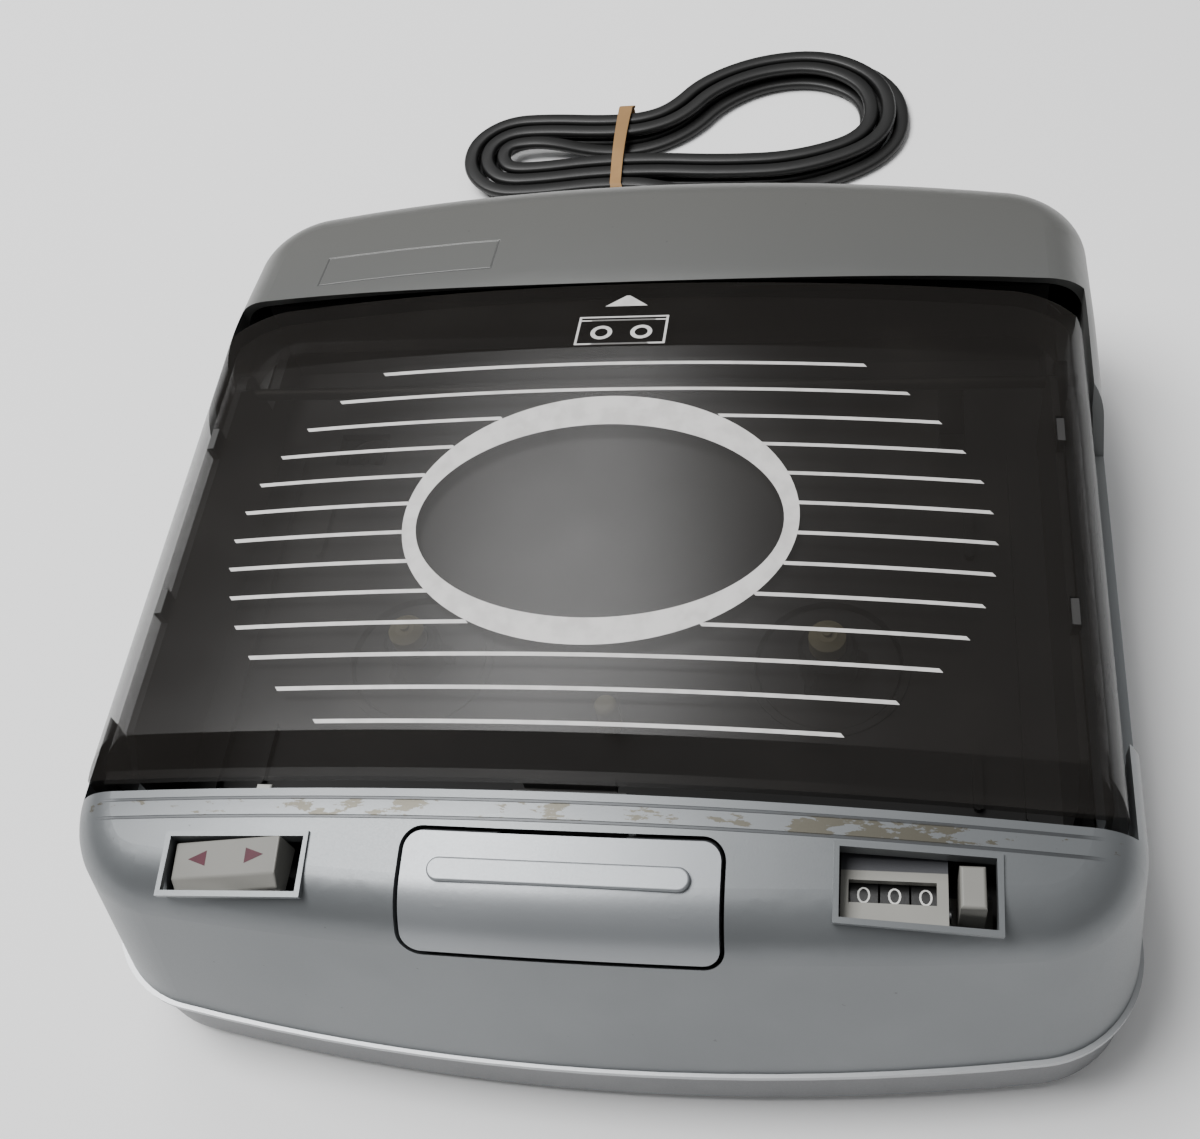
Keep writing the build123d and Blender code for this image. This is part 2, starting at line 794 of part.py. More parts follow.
# ================================================================ chassis and reel drive
with BuildPart() as chassis_plate:
    with BuildSketch(Plane.XY.offset(chassis_bottom)):
        with Locations((0, -1)):
            RectangleRounded(170, 116, 6)
        with Locations((41, 74)):
            RectangleRounded(54, 56, 5)
        with Locations(*spindle_places):
            Circle(shaft_radius, mode=Mode.SUBTRACT)
        with Locations((0, drive_y)):
            Circle(shaft_radius + running_gap, mode=Mode.SUBTRACT)
        with Locations((motor_x, motor_y)):
            Circle(3.2, mode=Mode.SUBTRACT)
        with Locations(*chassis_posts):
            Circle(screw_radius + 0.2, mode=Mode.SUBTRACT)
        with Locations((-55, 34), (60, 30)):
            SlotOverall(26, 9, mode=Mode.SUBTRACT)
    extrude(amount=chassis_thickness)

chassis_plate.part.label = "chassis_plate"
export_step(chassis_plate.part, "parts/chassis_plate.step")

table_top = deck_top - 0.8
collar_top = table_bottom - 1.0

with BuildPart() as reel_shafts:
    with BuildSketch(Plane.XY.offset(chassis_bottom - 1.5)):
        with Locations(*spindle_places):
            Circle(shaft_radius)
    extrude(amount=spindle_top + 2.0 - chassis_bottom + 1.5)
    with BuildSketch(Plane.XY.offset(chassis_top)):
        with Locations(*spindle_places):
            Circle(shaft_radius + 1.8)
    extrude(amount=collar_top - 0.3 - chassis_top)

reel_shafts.part.label = "reel_shafts"
export_step(reel_shafts.part, "parts/reel_shafts.step")

for side, hand in ((-1, "left"), (1, "right")):
    reel_x = side * hub_spacing / 2
    with BuildPart() as reel_table:
        with BuildSketch(Plane.XZ):
            with BuildLine():
                Polyline(
                    (shaft_radius + running_gap, collar_top),
                    (6.0, collar_top),
                    (6.0, table_bottom),
                    (table_radius, table_bottom),
                    (table_radius, table_bottom + table_thickness),
                    (table_hub_radius, table_bottom + table_thickness),
                    (table_hub_radius, table_top),
                    (spindle_radius, table_top),
                    (spindle_radius, spindle_top - 1.0),
                    (spindle_radius - 1.0, spindle_top),
                    (shaft_radius + running_gap, spindle_top),
                    close=True,
                )
            make_face()
        revolve(axis=Axis.Z)
        # three drive fins, tapered at the top
        with BuildSketch(Plane.XZ.offset(-0.9)):
            with BuildLine():
                Polyline(
                    (spindle_radius - 1.5, table_top - 0.5),
                    (spindle_radius + 2.2, table_top - 0.5),
                    (spindle_radius + 2.2, spindle_top - 5.0),
                    (spindle_radius - 1.5, spindle_top - 1.0),
                    close=True,
                )
            make_face()
        fin = extrude(amount=1.8, mode=Mode.PRIVATE)
        with PolarLocations(0, 3):
            add(fin)
        # lightening holes in the flange
        with BuildSketch(Plane.XY.offset(table_bottom)):
            with PolarLocations((table_radius + table_hub_radius) / 2, 6):
                Circle(4.2)
        extrude(amount=table_thickness, mode=Mode.SUBTRACT)
    placed = reel_table.part.moved(Location((reel_x, hub_y, 0)))
    placed.label = f"{hand}_reel_table"
    export_step(placed, f"parts/{hand}_reel_table.step")

    with BuildPart() as spindle_cap:
        with BuildSketch(Plane.XZ):
            with BuildLine():
                Polyline(
                    (0, spindle_top + 2.4),
                    (shaft_radius + running_gap, spindle_top + 2.4),
                    (shaft_radius + running_gap, spindle_top),
                    (cap_radius, spindle_top),
                    (cap_radius, cap_top - 2.0),
                    (cap_radius - 1.8, cap_top - 0.8),
                    (1.0, cap_top - 0.8),
                    (1.0, cap_top),
                    (0, cap_top),
                    close=True,
                )
            make_face()
        revolve(axis=Axis.Z)
    placed = spindle_cap.part.moved(Location((reel_x, hub_y, 0)))
    placed.label = f"{hand}_spindle_cap"
    export_step(placed, f"parts/{hand}_spindle_cap.step")

roller_bottom = table_bottom - 0.4
roller_top = table_bottom + table_thickness + 0.4
arm_bottom = roller_top + 0.4
arm_thickness = 1.6
arm_top = arm_bottom + arm_thickness
drive_shaft_top = arm_top + 1.4

with BuildPart() as drive_shaft:
    with BuildSketch(Plane.XY.offset(belt_z - belt_height - 0.6)):
        with Locations((0, drive_y)):
            Circle(shaft_radius)
    extrude(amount=drive_shaft_top - belt_z + belt_height + 0.6)
    with BuildSketch(Plane.XY.offset(arm_top + 0.3)):
        with Locations((0, drive_y)):
            Circle(shaft_radius + 1.2)
    extrude(amount=0.6)

drive_shaft.part.label = "drive_shaft"
export_step(drive_shaft.part, "parts/drive_shaft.step")

with BuildPart() as drive_roller:
    with BuildSketch(Plane.XY.offset(roller_bottom)):
        with Locations((0, drive_y)):
            Circle(roller_radius)
            Circle(shaft_radius, mode=Mode.SUBTRACT)
    extrude(amount=roller_top - roller_bottom)
    with BuildSketch(Plane.XY.offset(chassis_top + 0.3)):
        with Locations((0, drive_y)):
            Circle(shaft_radius + 2.0)
            Circle(shaft_radius, mode=Mode.SUBTRACT)
    extrude(amount=roller_bottom - chassis_top - 0.3)
    chamfer(drive_roller.edges().group_by(Axis.Z)[-1], 0.4)

drive_roller.part.label = "drive_roller"
export_step(drive_roller.part, "parts/drive_roller.step")


def pulley(centre, radius, bore):
    """Belt pulley with a square groove, on an upright shaft."""
    half = belt_height / 2
    flange = 1.0
    with BuildPart() as wheel:
        with BuildSketch(Plane.XZ):
            with BuildLine():
                Polyline(
                    (bore, belt_z - half - flange - 0.2),
                    (radius, belt_z - half - flange - 0.2),
                    (radius, belt_z - half - 0.2),
                    (radius - groove_depth, belt_z - half - 0.2),
                    (radius - groove_depth, belt_z + half + 0.2),
                    (radius, belt_z + half + 0.2),
                    (radius, belt_z + half + flange + 0.2),
                    (bore, belt_z + half + flange + 0.2),
                    close=True,
                )
            make_face()
        revolve(axis=Axis.Z)
    return wheel.part.moved(Location((centre[0], centre[1], 0)))


drive_pulley = pulley((0, drive_y), drive_pulley_radius, shaft_radius)
drive_pulley.label = "drive_pulley"
export_step(drive_pulley, "parts/drive_pulley.step")

motor_shaft_radius = 1.0
motor_pulley = pulley((motor_x, motor_y), motor_pulley_radius, motor_shaft_radius)
motor_pulley.label = "motor_pulley"
export_step(motor_pulley, "parts/motor_pulley.step")

with BuildPart() as drive_belt:
    with BuildSketch(Plane.XY.offset(belt_z - belt_height / 2)):
        with Locations((0, drive_y)):
            Circle(drive_pulley_radius - groove_depth + belt_gap + belt_thickness)
        with Locations((motor_x, motor_y)):
            Circle(motor_pulley_radius - groove_depth + belt_gap + belt_thickness)
        make_hull()
    extrude(amount=belt_height)
    with BuildSketch(Plane.XY.offset(belt_z - belt_height / 2)):
        with Locations((0, drive_y)):
            Circle(drive_pulley_radius - groove_depth + belt_gap)
        with Locations((motor_x, motor_y)):
            Circle(motor_pulley_radius - groove_depth + belt_gap)
        make_hull()
    extrude(amount=belt_height, mode=Mode.SUBTRACT)

drive_belt.part.label = "drive_belt"
export_step(drive_belt.part, "parts/drive_belt.step")

with BuildPart() as motor:
    with BuildSketch(Plane.XY.offset(chassis_top)):
        with Locations((motor_x, motor_y)):
            Circle(motor_radius)
    extrude(amount=motor_height)
    fillet(motor.edges().group_by(Axis.Z)[-1], 2.0)
    with BuildSketch(Plane.XY.offset(chassis_bottom)):
        with Locations((motor_x, motor_y)):
            Circle(3.1)
    extrude(amount=chassis_thickness)
    with BuildSketch(Plane.XY.offset(chassis_top + motor_height)):
        with Locations((motor_x, motor_y)):
            Circle(4.0)
    extrude(amount=1.6)
    with BuildSketch(Plane.XY.offset(chassis_bottom)):
        with Locations((motor_x, motor_y)):
            Circle(motor_shaft_radius + running_gap)
    extrude(amount=motor_height, mode=Mode.SUBTRACT)

motor.part.label = "motor"
export_step(motor.part, "parts/motor.step")

with BuildPart() as motor_shaft:
    with BuildSketch(Plane.XY.offset(belt_z - belt_height / 2 - 1.6)):
        with Locations((motor_x, motor_y)):
            Circle(motor_shaft_radius)
    extrude(amount=chassis_bottom + motor_height - 1.0 - belt_z + belt_height / 2 + 1.6)

motor_shaft.part.label = "motor_shaft"
export_step(motor_shaft.part, "parts/motor_shaft.step")

# Idler on its swinging arm: it leans on the left table at rest
idler_reach = table_radius + idler_radius + idler_gap
arm_length = drive_y - hub_y
idler_x = -(hub_spacing / 2 - sqrt(idler_reach**2 - 0.066**2))
idler_y = drive_y - sqrt(arm_length**2 - idler_x**2)
idler_axle_radius = 1.5
idler_bottom = table_bottom
idler_top = table_bottom + table_thickness

with BuildPart() as idler_wheel:
    with BuildSketch(Plane.XY.offset(idler_bottom)):
        with Locations((idler_x, idler_y)):
            Circle(idler_radius - idler_tyre_thickness)
            Circle(idler_axle_radius + running_gap, mode=Mode.SUBTRACT)
            with PolarLocations(7.6, 5):
                Circle(2.4, mode=Mode.SUBTRACT)
    extrude(amount=idler_top - idler_bottom)

idler_wheel.part.label = "idler_wheel"
export_step(idler_wheel.part, "parts/idler_wheel.step")

with BuildPart() as idler_tyre:
    with BuildSketch(Plane.XY.offset(idler_bottom)):
        with Locations((idler_x, idler_y)):
            Circle(idler_radius)
            Circle(idler_radius - idler_tyre_thickness, mode=Mode.SUBTRACT)
    extrude(amount=idler_top - idler_bottom)
    fillet(idler_tyre.edges().filter_by(GeomType.CIRCLE).group_by(SortBy.RADIUS)[-1], 0.5)

idler_tyre.part.label = "idler_tyre"
export_step(idler_tyre.part, "parts/idler_tyre.step")

with BuildPart() as idler_arm:
    with BuildSketch(Plane.XY.offset(arm_bottom)):
        with Locations((0, drive_y)):
            Circle(5.5)
        with Locations((idler_x, idler_y)):
            Circle(4.0)
        make_hull()
        with Locations((0, drive_y)):
            Circle(shaft_radius + running_gap, mode=Mode.SUBTRACT)
        with Locations((idler_x, idler_y)):
            Circle(idler_axle_radius, mode=Mode.SUBTRACT)
    extrude(amount=arm_thickness)

idler_arm.part.label = "idler_arm"
export_step(idler_arm.part, "parts/idler_arm.step")

with BuildPart() as idler_axle:
    with BuildSketch(Plane.XY.offset(idler_bottom - 1.2)):
        with Locations((idler_x, idler_y)):
            Circle(idler_axle_radius)
    extrude(amount=arm_top + 0.5 - idler_bottom + 1.2)
    with BuildSketch(Plane.XY.offset(idler_bottom - 1.0)):
        with Locations((idler_x, idler_y)):
            Circle(idler_axle_radius + 1.6)
    extrude(amount=0.7)
    with BuildSketch(Plane.XY.offset(idler_top + 0.2)):
        with Locations((idler_x, idler_y)):
            Circle(idler_axle_radius + 1.0)
    extrude(amount=arm_bottom - idler_top - 0.2)

idler_axle.part.label = "idler_axle"
export_step(idler_axle.part, "parts/idler_axle.step")

# ================================================================ supply
with BuildPart() as transformer:
    with BuildSketch(Plane.XY.offset(floor_top)):
        with Locations((transformer_x, transformer_y)):
            RectangleRounded(56, 17, 3)
            with GridLocations(49, 0, 2, 1):
                Circle(screw_radius + 0.2, mode=Mode.SUBTRACT)
    extrude(amount=1.2)
    with BuildSketch(Plane.XY.offset(floor_top + 1.2)):
        with Locations((transformer_x, transformer_y)):
            Rectangle(41, 15)
    extrude(amount=34)
    with BuildSketch(Plane.XY.offset(floor_top + 8.0)):
        with Locations((transformer_x, transformer_y)):
            RectangleRounded(25, 30, 3)
    extrude(amount=20.5)

transformer.part.label = "transformer"
export_step(transformer.part, "parts/transformer.step")

with BuildPart() as circuit_board:
    with BuildSketch(Plane.XY.offset(board_z)):
        with Locations((-11, (board_front_y + board_rear_y) / 2)):
            Rectangle(36, 30)
            with GridLocations(30, 24, 2, 2):
                Circle(screw_radius, mode=Mode.SUBTRACT)
    extrude(amount=1.6)

circuit_board.part.label = "circuit_board"
export_step(circuit_board.part, "parts/circuit_board.step")

board_top = board_z + 1.6

with BuildPart() as smoothing_capacitor:
    with BuildSketch(Plane.XY.offset(board_top)):
        with Locations((-18, board_front_y + 8)):
            Circle(5.0)
    extrude(amount=16)
    fillet(smoothing_capacitor.edges().group_by(Axis.Z)[-1], 0.8)

smoothing_capacitor.part.label = "smoothing_capacitor"
export_step(smoothing_capacitor.part, "parts/smoothing_capacitor.step")

with BuildPart() as motor_relay:
    with Locations((-3, board_front_y + 14, board_top + 6)):
        Box(14, 11, 12)
    chamfer(motor_relay.edges().group_by(Axis.Z)[-1], 0.6)

motor_relay.part.label = "motor_relay"
export_step(motor_relay.part, "parts/motor_relay.step")

# ================================================================ front bracket and controls
bracket_front_y = -92.0
bracket_rear_y = lip_y - case_wall

# Latch: nose over the lid's catch, tail under the button's foot
latch_pivot_y = -76.2
latch_pivot_z = 57.0
latch_pin_radius = 1.25
latch_nose_bottom = catch_top + 0.3
latch_nose_top = latch_nose_bottom + 1.3
latch_nose_y = lid_front_y - 0.6
latch_tail_y = -87.5
latch_tail_top = latch_pivot_z + 1.4

# Button springs stand square to the button's face
button_along = Vector(0, -button_normal.Z, button_normal.Y) * -1
spring_x = 22.0
spring_top = -3.0
spring_bottom = -13.2
pad_depth = spring_bottom - button_travel - 0.5
pad_point = button_plane.origin + button_normal * pad_depth
post_radius = 2.2

# Rocker: pivots below the panel about a line to the rear
rocker_lean = degrees(asin(rocker_x / crown_radius))
rocker_pivot_depth = 10.0
rocker_pin_radius = 1.25
rocker_hub_width = 5.0
rocker_post_offset = rocker_hub_width / 2 + 1.0
rocker_skin = 6.0
rocker_pivot = Vector(
    rocker_x - rocker_pivot_depth * sin(radians(rocker_lean)),
    rocker_y,
    panel_point(rocker_x, rocker_y) - rocker_pivot_depth * cos(radians(rocker_lean)),
)

with BuildPart() as front_bracket:
    with BuildSketch(Plane.XY.offset(bracket_bottom)):
        with Locations((0, (bracket_front_y + bracket_rear_y) / 2)):
            RectangleRounded(164, bracket_rear_y - bracket_front_y, 3)
    extrude(amount=bracket_thickness)
    # ears that carry the latch's pin
    for side in (-1, 1):
        with BuildSketch(Plane.YZ.offset(side * (latch_half_width + 0.6))):
            with BuildLine():
                Polyline(
                    (latch_pivot_y - 4, bracket_bottom),
                    (latch_pivot_y + 2.2, bracket_bottom),
                    (latch_pivot_y + 2.2, latch_pivot_z + 2.4),
                    (latch_pivot_y - 2.4, latch_pivot_z + 2.4),
                    close=True,
                )
            make_face()
            with Locations((latch_pivot_y, latch_pivot_z)):
                Circle(latch_pin_radius, mode=Mode.SUBTRACT)
        extrude(amount=side * 1.8)
    # sloping pads under the button's springs
    for side in (-1, 1):
        with BuildSketch(Plane.YZ.offset(side * (spring_x - 5))):
            with BuildLine():
                Polyline(
                    (pad_point.Y - 4, bracket_bottom),
                    (pad_point.Y + 4, bracket_bottom),
                    tuple(pad_point + button_along * 4)[1:],
                    tuple(pad_point + button_along * -4)[1:],
                    close=True,
                )
            make_face()
        extrude(amount=side * 10)
    # posts on both sides of the rocker's hub
    for end in (-1, 1):
        with BuildSketch(Plane.XZ.offset(-rocker_y - end * rocker_post_offset)):
            with BuildLine():
                Polyline(
                    (rocker_pivot.X - 6, bracket_bottom),
                    (rocker_pivot.X + 6, bracket_bottom),
                    (rocker_pivot.X + 2.6, rocker_pivot.Z + 2.6),
                    (rocker_pivot.X - 2.6, rocker_pivot.Z + 2.6),
                    close=True,
                )
            make_face()
            with Locations((rocker_pivot.X, rocker_pivot.Z)):
                Circle(rocker_pin_radius, mode=Mode.SUBTRACT)
        extrude(amount=0.7, both=True)

front_bracket.part.label = "front_bracket"
export_step(front_bracket.part, "parts/front_bracket.step")

with BuildPart() as latch:
    with BuildSketch(Plane.YZ.offset(-latch_half_width)):
        with BuildLine():
            Polyline(
                (latch_tail_y, latch_tail_top),
                (latch_tail_y, latch_tail_top - 1.6),
                (latch_pivot_y, latch_pivot_z - 2.4),
                (latch_pivot_y + 1.6, latch_pivot_z),
                (latch_pivot_y + 1.2, latch_nose_bottom),
                (latch_nose_y, latch_nose_bottom),
                (latch_nose_y, latch_nose_top - 0.6),
                (latch_nose_y - 0.8, latch_nose_top),
                (latch_pivot_y + 0.2, latch_nose_top),
                (latch_pivot_y - 1.4, latch_tail_top),
                close=True,
            )
        make_face()
        with Locations((latch_pivot_y, latch_pivot_z)):
            Circle(2.6)
            Circle(latch_pin_radius + running_gap, mode=Mode.SUBTRACT)
    extrude(amount=2 * latch_half_width)

latch.part.label = "latch"
export_step(latch.part, "parts/latch.step")

with BuildPart() as latch_pin:
    with BuildSketch(Plane.YZ.offset(-latch_half_width - 2.6)):
        with Locations((latch_pivot_y, latch_pivot_z)):
            Circle(latch_pin_radius)
    extrude(amount=2 * latch_half_width + 5.2)

latch_pin.part.label = "latch_pin"
export_step(latch_pin.part, "parts/latch_pin.step")

spring_planes = [
    Plane(
        origin=button_plane.origin + Vector(side * spring_x, 0, 0),
        x_dir=(1, 0, 0),
        z_dir=button_normal,
    )
    for side in (-1, 1)
]

with BuildPart() as button_posts:
    for spring_plane in spring_planes:
        with BuildSketch(spring_plane.offset(-9.0)):
            Circle(post_radius)
        extrude(amount=20)
    with BuildSketch(Plane.YZ.offset(-4.0)):
        with BuildLine():
            Polyline(
                (latch_tail_y, latch_tail_top + 0.3),
                (latch_tail_y + 1.0, latch_tail_top + 0.3),
                (latch_tail_y + 2.6, panel_height),
                (latch_tail_y - 0.4, panel_height),
                close=True,
            )
        make_face()
    extrude(amount=8.0)
    add(case_outside, mode=Mode.INTERSECT)

with BuildPart() as finger_rib:
    with BuildSketch(panel_plane(0, rib_y).offset(-1.0)):
        SlotOverall(2 * rib_half_length, rib_width)
    extrude(amount=1.0 + rib_rise)
    fillet(finger_rib.edges().group_by(Axis.Z)[-1], 0.5)

with BuildPart() as eject_button:
    add(button_prism(0, 4.0))
    add(case_outside, mode=Mode.INTERSECT)
    with BuildPart(mode=Mode.PRIVATE) as hollow:
        add(button_prism(-1.8, 6.0))
        add(case_inside, mode=Mode.INTERSECT)
    add(hollow.part, mode=Mode.SUBTRACT)
    # the rear edge stays clear of the latch
    with Locations((0, button_rear_y + 0.1, panel_height)):
        Box(
            2 * latch_half_width + 2.4,
            10,
            40,
            align=(Align.CENTER, Align.MIN, Align.CENTER),
            mode=Mode.SUBTRACT,
        )
    with BuildPart(mode=Mode.PRIVATE) as latch_room:
        with Locations((0, button_rear_y + 0.1, panel_height)):
            Box(
                2 * latch_half_width + 2.4,
                2.4,
                40,
                align=(Align.CENTER, Align.MAX, Align.CENTER),
            )
        add(case_inside, mode=Mode.INTERSECT)
    add(latch_room.part, mode=Mode.SUBTRACT)
    add(button_posts.part)
    add(finger_rib.part)

eject_button.part.label = "eject_button"
export_step(eject_button.part, "parts/eject_button.step")

with BuildPart() as eject_springs:
    for spring_plane in spring_planes:
        with BuildSketch(spring_plane.offset(spring_bottom)):
            Circle(post_radius + 1.1)
            Circle(post_radius + 0.1, mode=Mode.SUBTRACT)
        extrude(amount=spring_top - spring_bottom)

eject_springs.part.label = "eject_springs"
export_step(eject_springs.part, "parts/eject_springs.step")

# ---------------------------------------------------------------- direction rocker
rocker_frame = Plane(
    origin=(rocker_pivot.X, rocker_y + rocker_width / 2, rocker_pivot.Z),
    x_dir=(cos(radians(rocker_tilt - rocker_lean)), 0, sin(radians(rocker_tilt - rocker_lean))),
    z_dir=(0, -1, 0),
)

with BuildPart() as direction_rocker:
    with BuildSketch(rocker_frame.offset(rocker_width / 2)):
        with BuildLine():
            Polyline(
                (-4.0, rocker_height - rocker_skin),
                (-2.4, 0),
                (2.4, 0),
                (4.0, rocker_height - rocker_skin),
                close=True,
            )
        make_face()
        Circle(3.0)
        Circle(rocker_pin_radius + running_gap, mode=Mode.SUBTRACT)
    extrude(amount=rocker_hub_width / 2, both=True)
    with BuildSketch(rocker_frame):
        with BuildLine():
            Polyline(
                (-rocker_length / 2, rocker_height + 1.0),
                (-rocker_length / 2 + 0.6, rocker_height - rocker_skin),
                (rocker_length / 2 - 0.6, rocker_height - rocker_skin),
                (rocker_length / 2, rocker_height + 1.0),
                close=True,
            )
        make_face()
    extrude(amount=rocker_width)
    split(
        bisect_by=Plane(
            origin=rocker_frame.origin
            + rocker_frame.y_dir * rocker_height
            - Vector(0, rocker_width / 2, 0),
            x_dir=rocker_frame.x_dir,
            z_dir=rocker_frame.x_dir.cross(
                Vector(0, cos(radians(panel_slope)), sin(radians(panel_slope)))
            ),
        ),
        keep=Keep.BOTTOM,
    )

direction_rocker.part.label = "direction_rocker"
export_step(direction_rocker.part, "parts/direction_rocker.step")

with BuildPart() as rocker_pin:
    with BuildSketch(Plane.XZ.offset(-rocker_y)):
        with Locations((rocker_pivot.X, rocker_pivot.Z)):
            Circle(rocker_pin_radius)
    extrude(amount=rocker_post_offset + 1.0, both=True)

rocker_pin.part.label = "rocker_pin"
export_step(rocker_pin.part, "parts/rocker_pin.step")

with BuildPart() as direction_switch:
    with Locations((rocker_pivot.X, rocker_y, bracket_top + 3.6)):
        Box(18, 5, 7.2)
    with Locations((rocker_pivot.X, rocker_y, bracket_top + 8.0)):
        Box(5, 3, 1.6)

direction_switch.part.label = "direction_switch"
export_step(direction_switch.part, "parts/direction_switch.step")

# ---------------------------------------------------------------- tape counter
counter_left_x = 51.2
counter_right_x = 70.2
counter_top = 64.5
counter_wall = 1.2
wheel_clearance = 0.45
counter_shaft_radius = 1.2
reset_x = 74.4
reset_y = -84.5
reset_top = 67.3
reset_bottom = 56.0
reset_travel = 2.0
reset_guide_top = 52.9
reset_stem_radius = 1.4

with BuildPart() as counter_frame:
    with BuildSketch(Plane.YZ.offset(counter_left_x)):
        with BuildLine():
            Polyline(
                (-76.5, bracket_top),
                (-91.0, bracket_top),
                (-92.8, 50.0),
                (-92.8, 57.0),
                (-91.0, 61.2),
                (-91.0, counter_top),
                (-76.5, counter_top),
                close=True,
            )
        make_face()
    extrude(amount=counter_right_x - counter_left_x)
    with BuildSketch(Plane.YZ.offset(counter_left_x + counter_wall)):
        with Locations((wheel_y, wheel_z)):
            Circle(wheel_radius + wheel_clearance)
        with Locations((-94.0, 52.0)):
            Rectangle(16, 13)
    extrude(amount=counter_right_x - counter_left_x - 2 * counter_wall, mode=Mode.SUBTRACT)
    with Locations((60.4, -85.15, counter_top)):
        Box(15.6, 4.3, 8.0, mode=Mode.SUBTRACT)
    with BuildSketch(Plane.YZ.offset(counter_left_x - 1)):
        with Locations((wheel_y, wheel_z)):
            Circle(counter_shaft_radius + running_gap)
    extrude(amount=counter_right_x - counter_left_x + 2, mode=Mode.SUBTRACT)
    # guide for the reset button's stem
    with Locations((reset_x, reset_y, (bracket_top + reset_guide_top) / 2)):
        Box(2 * (reset_x - counter_right_x), 8.0, reset_guide_top - bracket_top)
    with BuildSketch(Plane.XY.offset(bracket_top)):
        with Locations((reset_x, reset_y)):
            Circle(reset_stem_radius + running_gap)
    extrude(amount=12, mode=Mode.SUBTRACT)

counter_frame.part.label = "counter_frame"
export_step(counter_frame.part, "parts/counter_frame.step")

wheel_names = ["hundreds", "tens", "units"]
for place, wheel_name in enumerate(wheel_names):
    with BuildPart() as counter_wheel:
        with BuildSketch(Plane.YZ.offset(wheel_first_x + place * wheel_pitch - wheel_width / 2)):
            with Locations((wheel_y, wheel_z)):
                Circle(wheel_radius)
                bore = counter_shaft_radius if wheel_name == "units" else counter_shaft_radius + running_gap
                Circle(bore, mode=Mode.SUBTRACT)
        extrude(amount=wheel_width)
    counter_wheel.part.label = f"counter_wheel_{wheel_name}"
    export_step(counter_wheel.part, f"parts/counter_wheel_{wheel_name}.step")

counter_pulley_x = 48.6
counter_pulley_width = 4.0

with BuildPart() as counter_shaft:
    with BuildSketch(Plane.YZ.offset(counter_pulley_x - counter_pulley_width / 2 - 0.6)):
        with Locations((wheel_y, wheel_z)):
            Circle(counter_shaft_radius)
    extrude(amount=counter_right_x + 0.8 - counter_pulley_x + counter_pulley_width / 2 + 0.6)

counter_shaft.part.label = "counter_shaft"
export_step(counter_shaft.part, "parts/counter_shaft.step")

with BuildPart() as counter_pulley:
    with BuildSketch(Plane.YZ.offset(counter_pulley_x - counter_pulley_width / 2)):
        with Locations((wheel_y, wheel_z)):
            Circle(5.5)
            Circle(counter_shaft_radius, mode=Mode.SUBTRACT)
    extrude(amount=counter_pulley_width)
    with BuildSketch(Plane.YZ.offset(counter_pulley_x - 0.9)):
        with Locations((wheel_y, wheel_z)):
            Circle(6.5)
            Circle(4.3, mode=Mode.SUBTRACT)
    extrude(amount=1.8, mode=Mode.SUBTRACT)

counter_pulley.part.label = "counter_pulley"
export_step(counter_pulley.part, "parts/counter_pulley.step")

with BuildPart() as counter_reset_button:
    with Locations((reset_x, reset_y, (reset_top + reset_bottom) / 2)):
        Box(4.6, 8.0, reset_top - reset_bottom)
    fillet(counter_reset_button.edges().group_by(Axis.Z)[-1], 0.6)
    with BuildSketch(Plane.XY.offset(reset_bottom)):
        with Locations((reset_x, reset_y)):
            Circle(reset_stem_radius)
    extrude(amount=-9.0)

counter_reset_button.part.label = "counter_reset_button"
export_step(counter_reset_button.part, "parts/counter_reset_button.step")

with BuildPart() as reset_spring:
    with BuildSketch(Plane.XY.offset(reset_guide_top)):
        with Locations((reset_x, reset_y)):
            Circle(reset_stem_radius + 0.8)
            Circle(reset_stem_radius + 0.15, mode=Mode.SUBTRACT)
    extrude(amount=reset_bottom - reset_guide_top)

reset_spring.part.label = "reset_spring"
export_step(reset_spring.part, "parts/reset_spring.step")

# ================================================================ fixings and feet
with BuildPart() as feet:
    with BuildSketch(Plane.XY):
        with GridLocations(160, 150, 2, 2):
            Circle(foot_radius)
    extrude(amount=foot_height + 1.0)
    chamfer(feet.edges().group_by(Axis.Z)[0], 0.6)

feet.part.label = "feet"
export_step(feet.part, "parts/feet.step")

with BuildPart() as case_screws:
    with BuildSketch(Plane.XY.offset(base_bottom + 8.0)):
        with Locations(*case_screw_places):
            Circle(screw_radius)
    extrude(amount=22)
    with BuildSketch(Plane.XY.offset(base_bottom + 8.0)):
        with Locations(*case_screw_places):
            Circle(screw_head_radius)
    extrude(amount=-2.2)

case_screws.part.label = "case_screws"
export_step(case_screws.part, "parts/case_screws.step")

with BuildPart() as chassis_screws:
    with BuildSketch(Plane.XY.offset(floor_top + 2)):
        with Locations(*chassis_posts):
            Circle(screw_radius)
    extrude(amount=chassis_top - floor_top - 2)
    with BuildSketch(Plane.XY.offset(chassis_top)):
        with Locations(*chassis_posts):
            Circle(screw_head_radius)
    extrude(amount=1.8)

chassis_screws.part.label = "chassis_screws"
export_step(chassis_screws.part, "parts/chassis_screws.step")

# ================================================================ mains cord
cord_diameter = 4.6
relief_length = 24.0
wall_outer_y = half_depth - base_inset - cord_exit_x**2 * rear_bow / half_width**2
relief_start_y = wall_outer_y - base_wall - 1.9

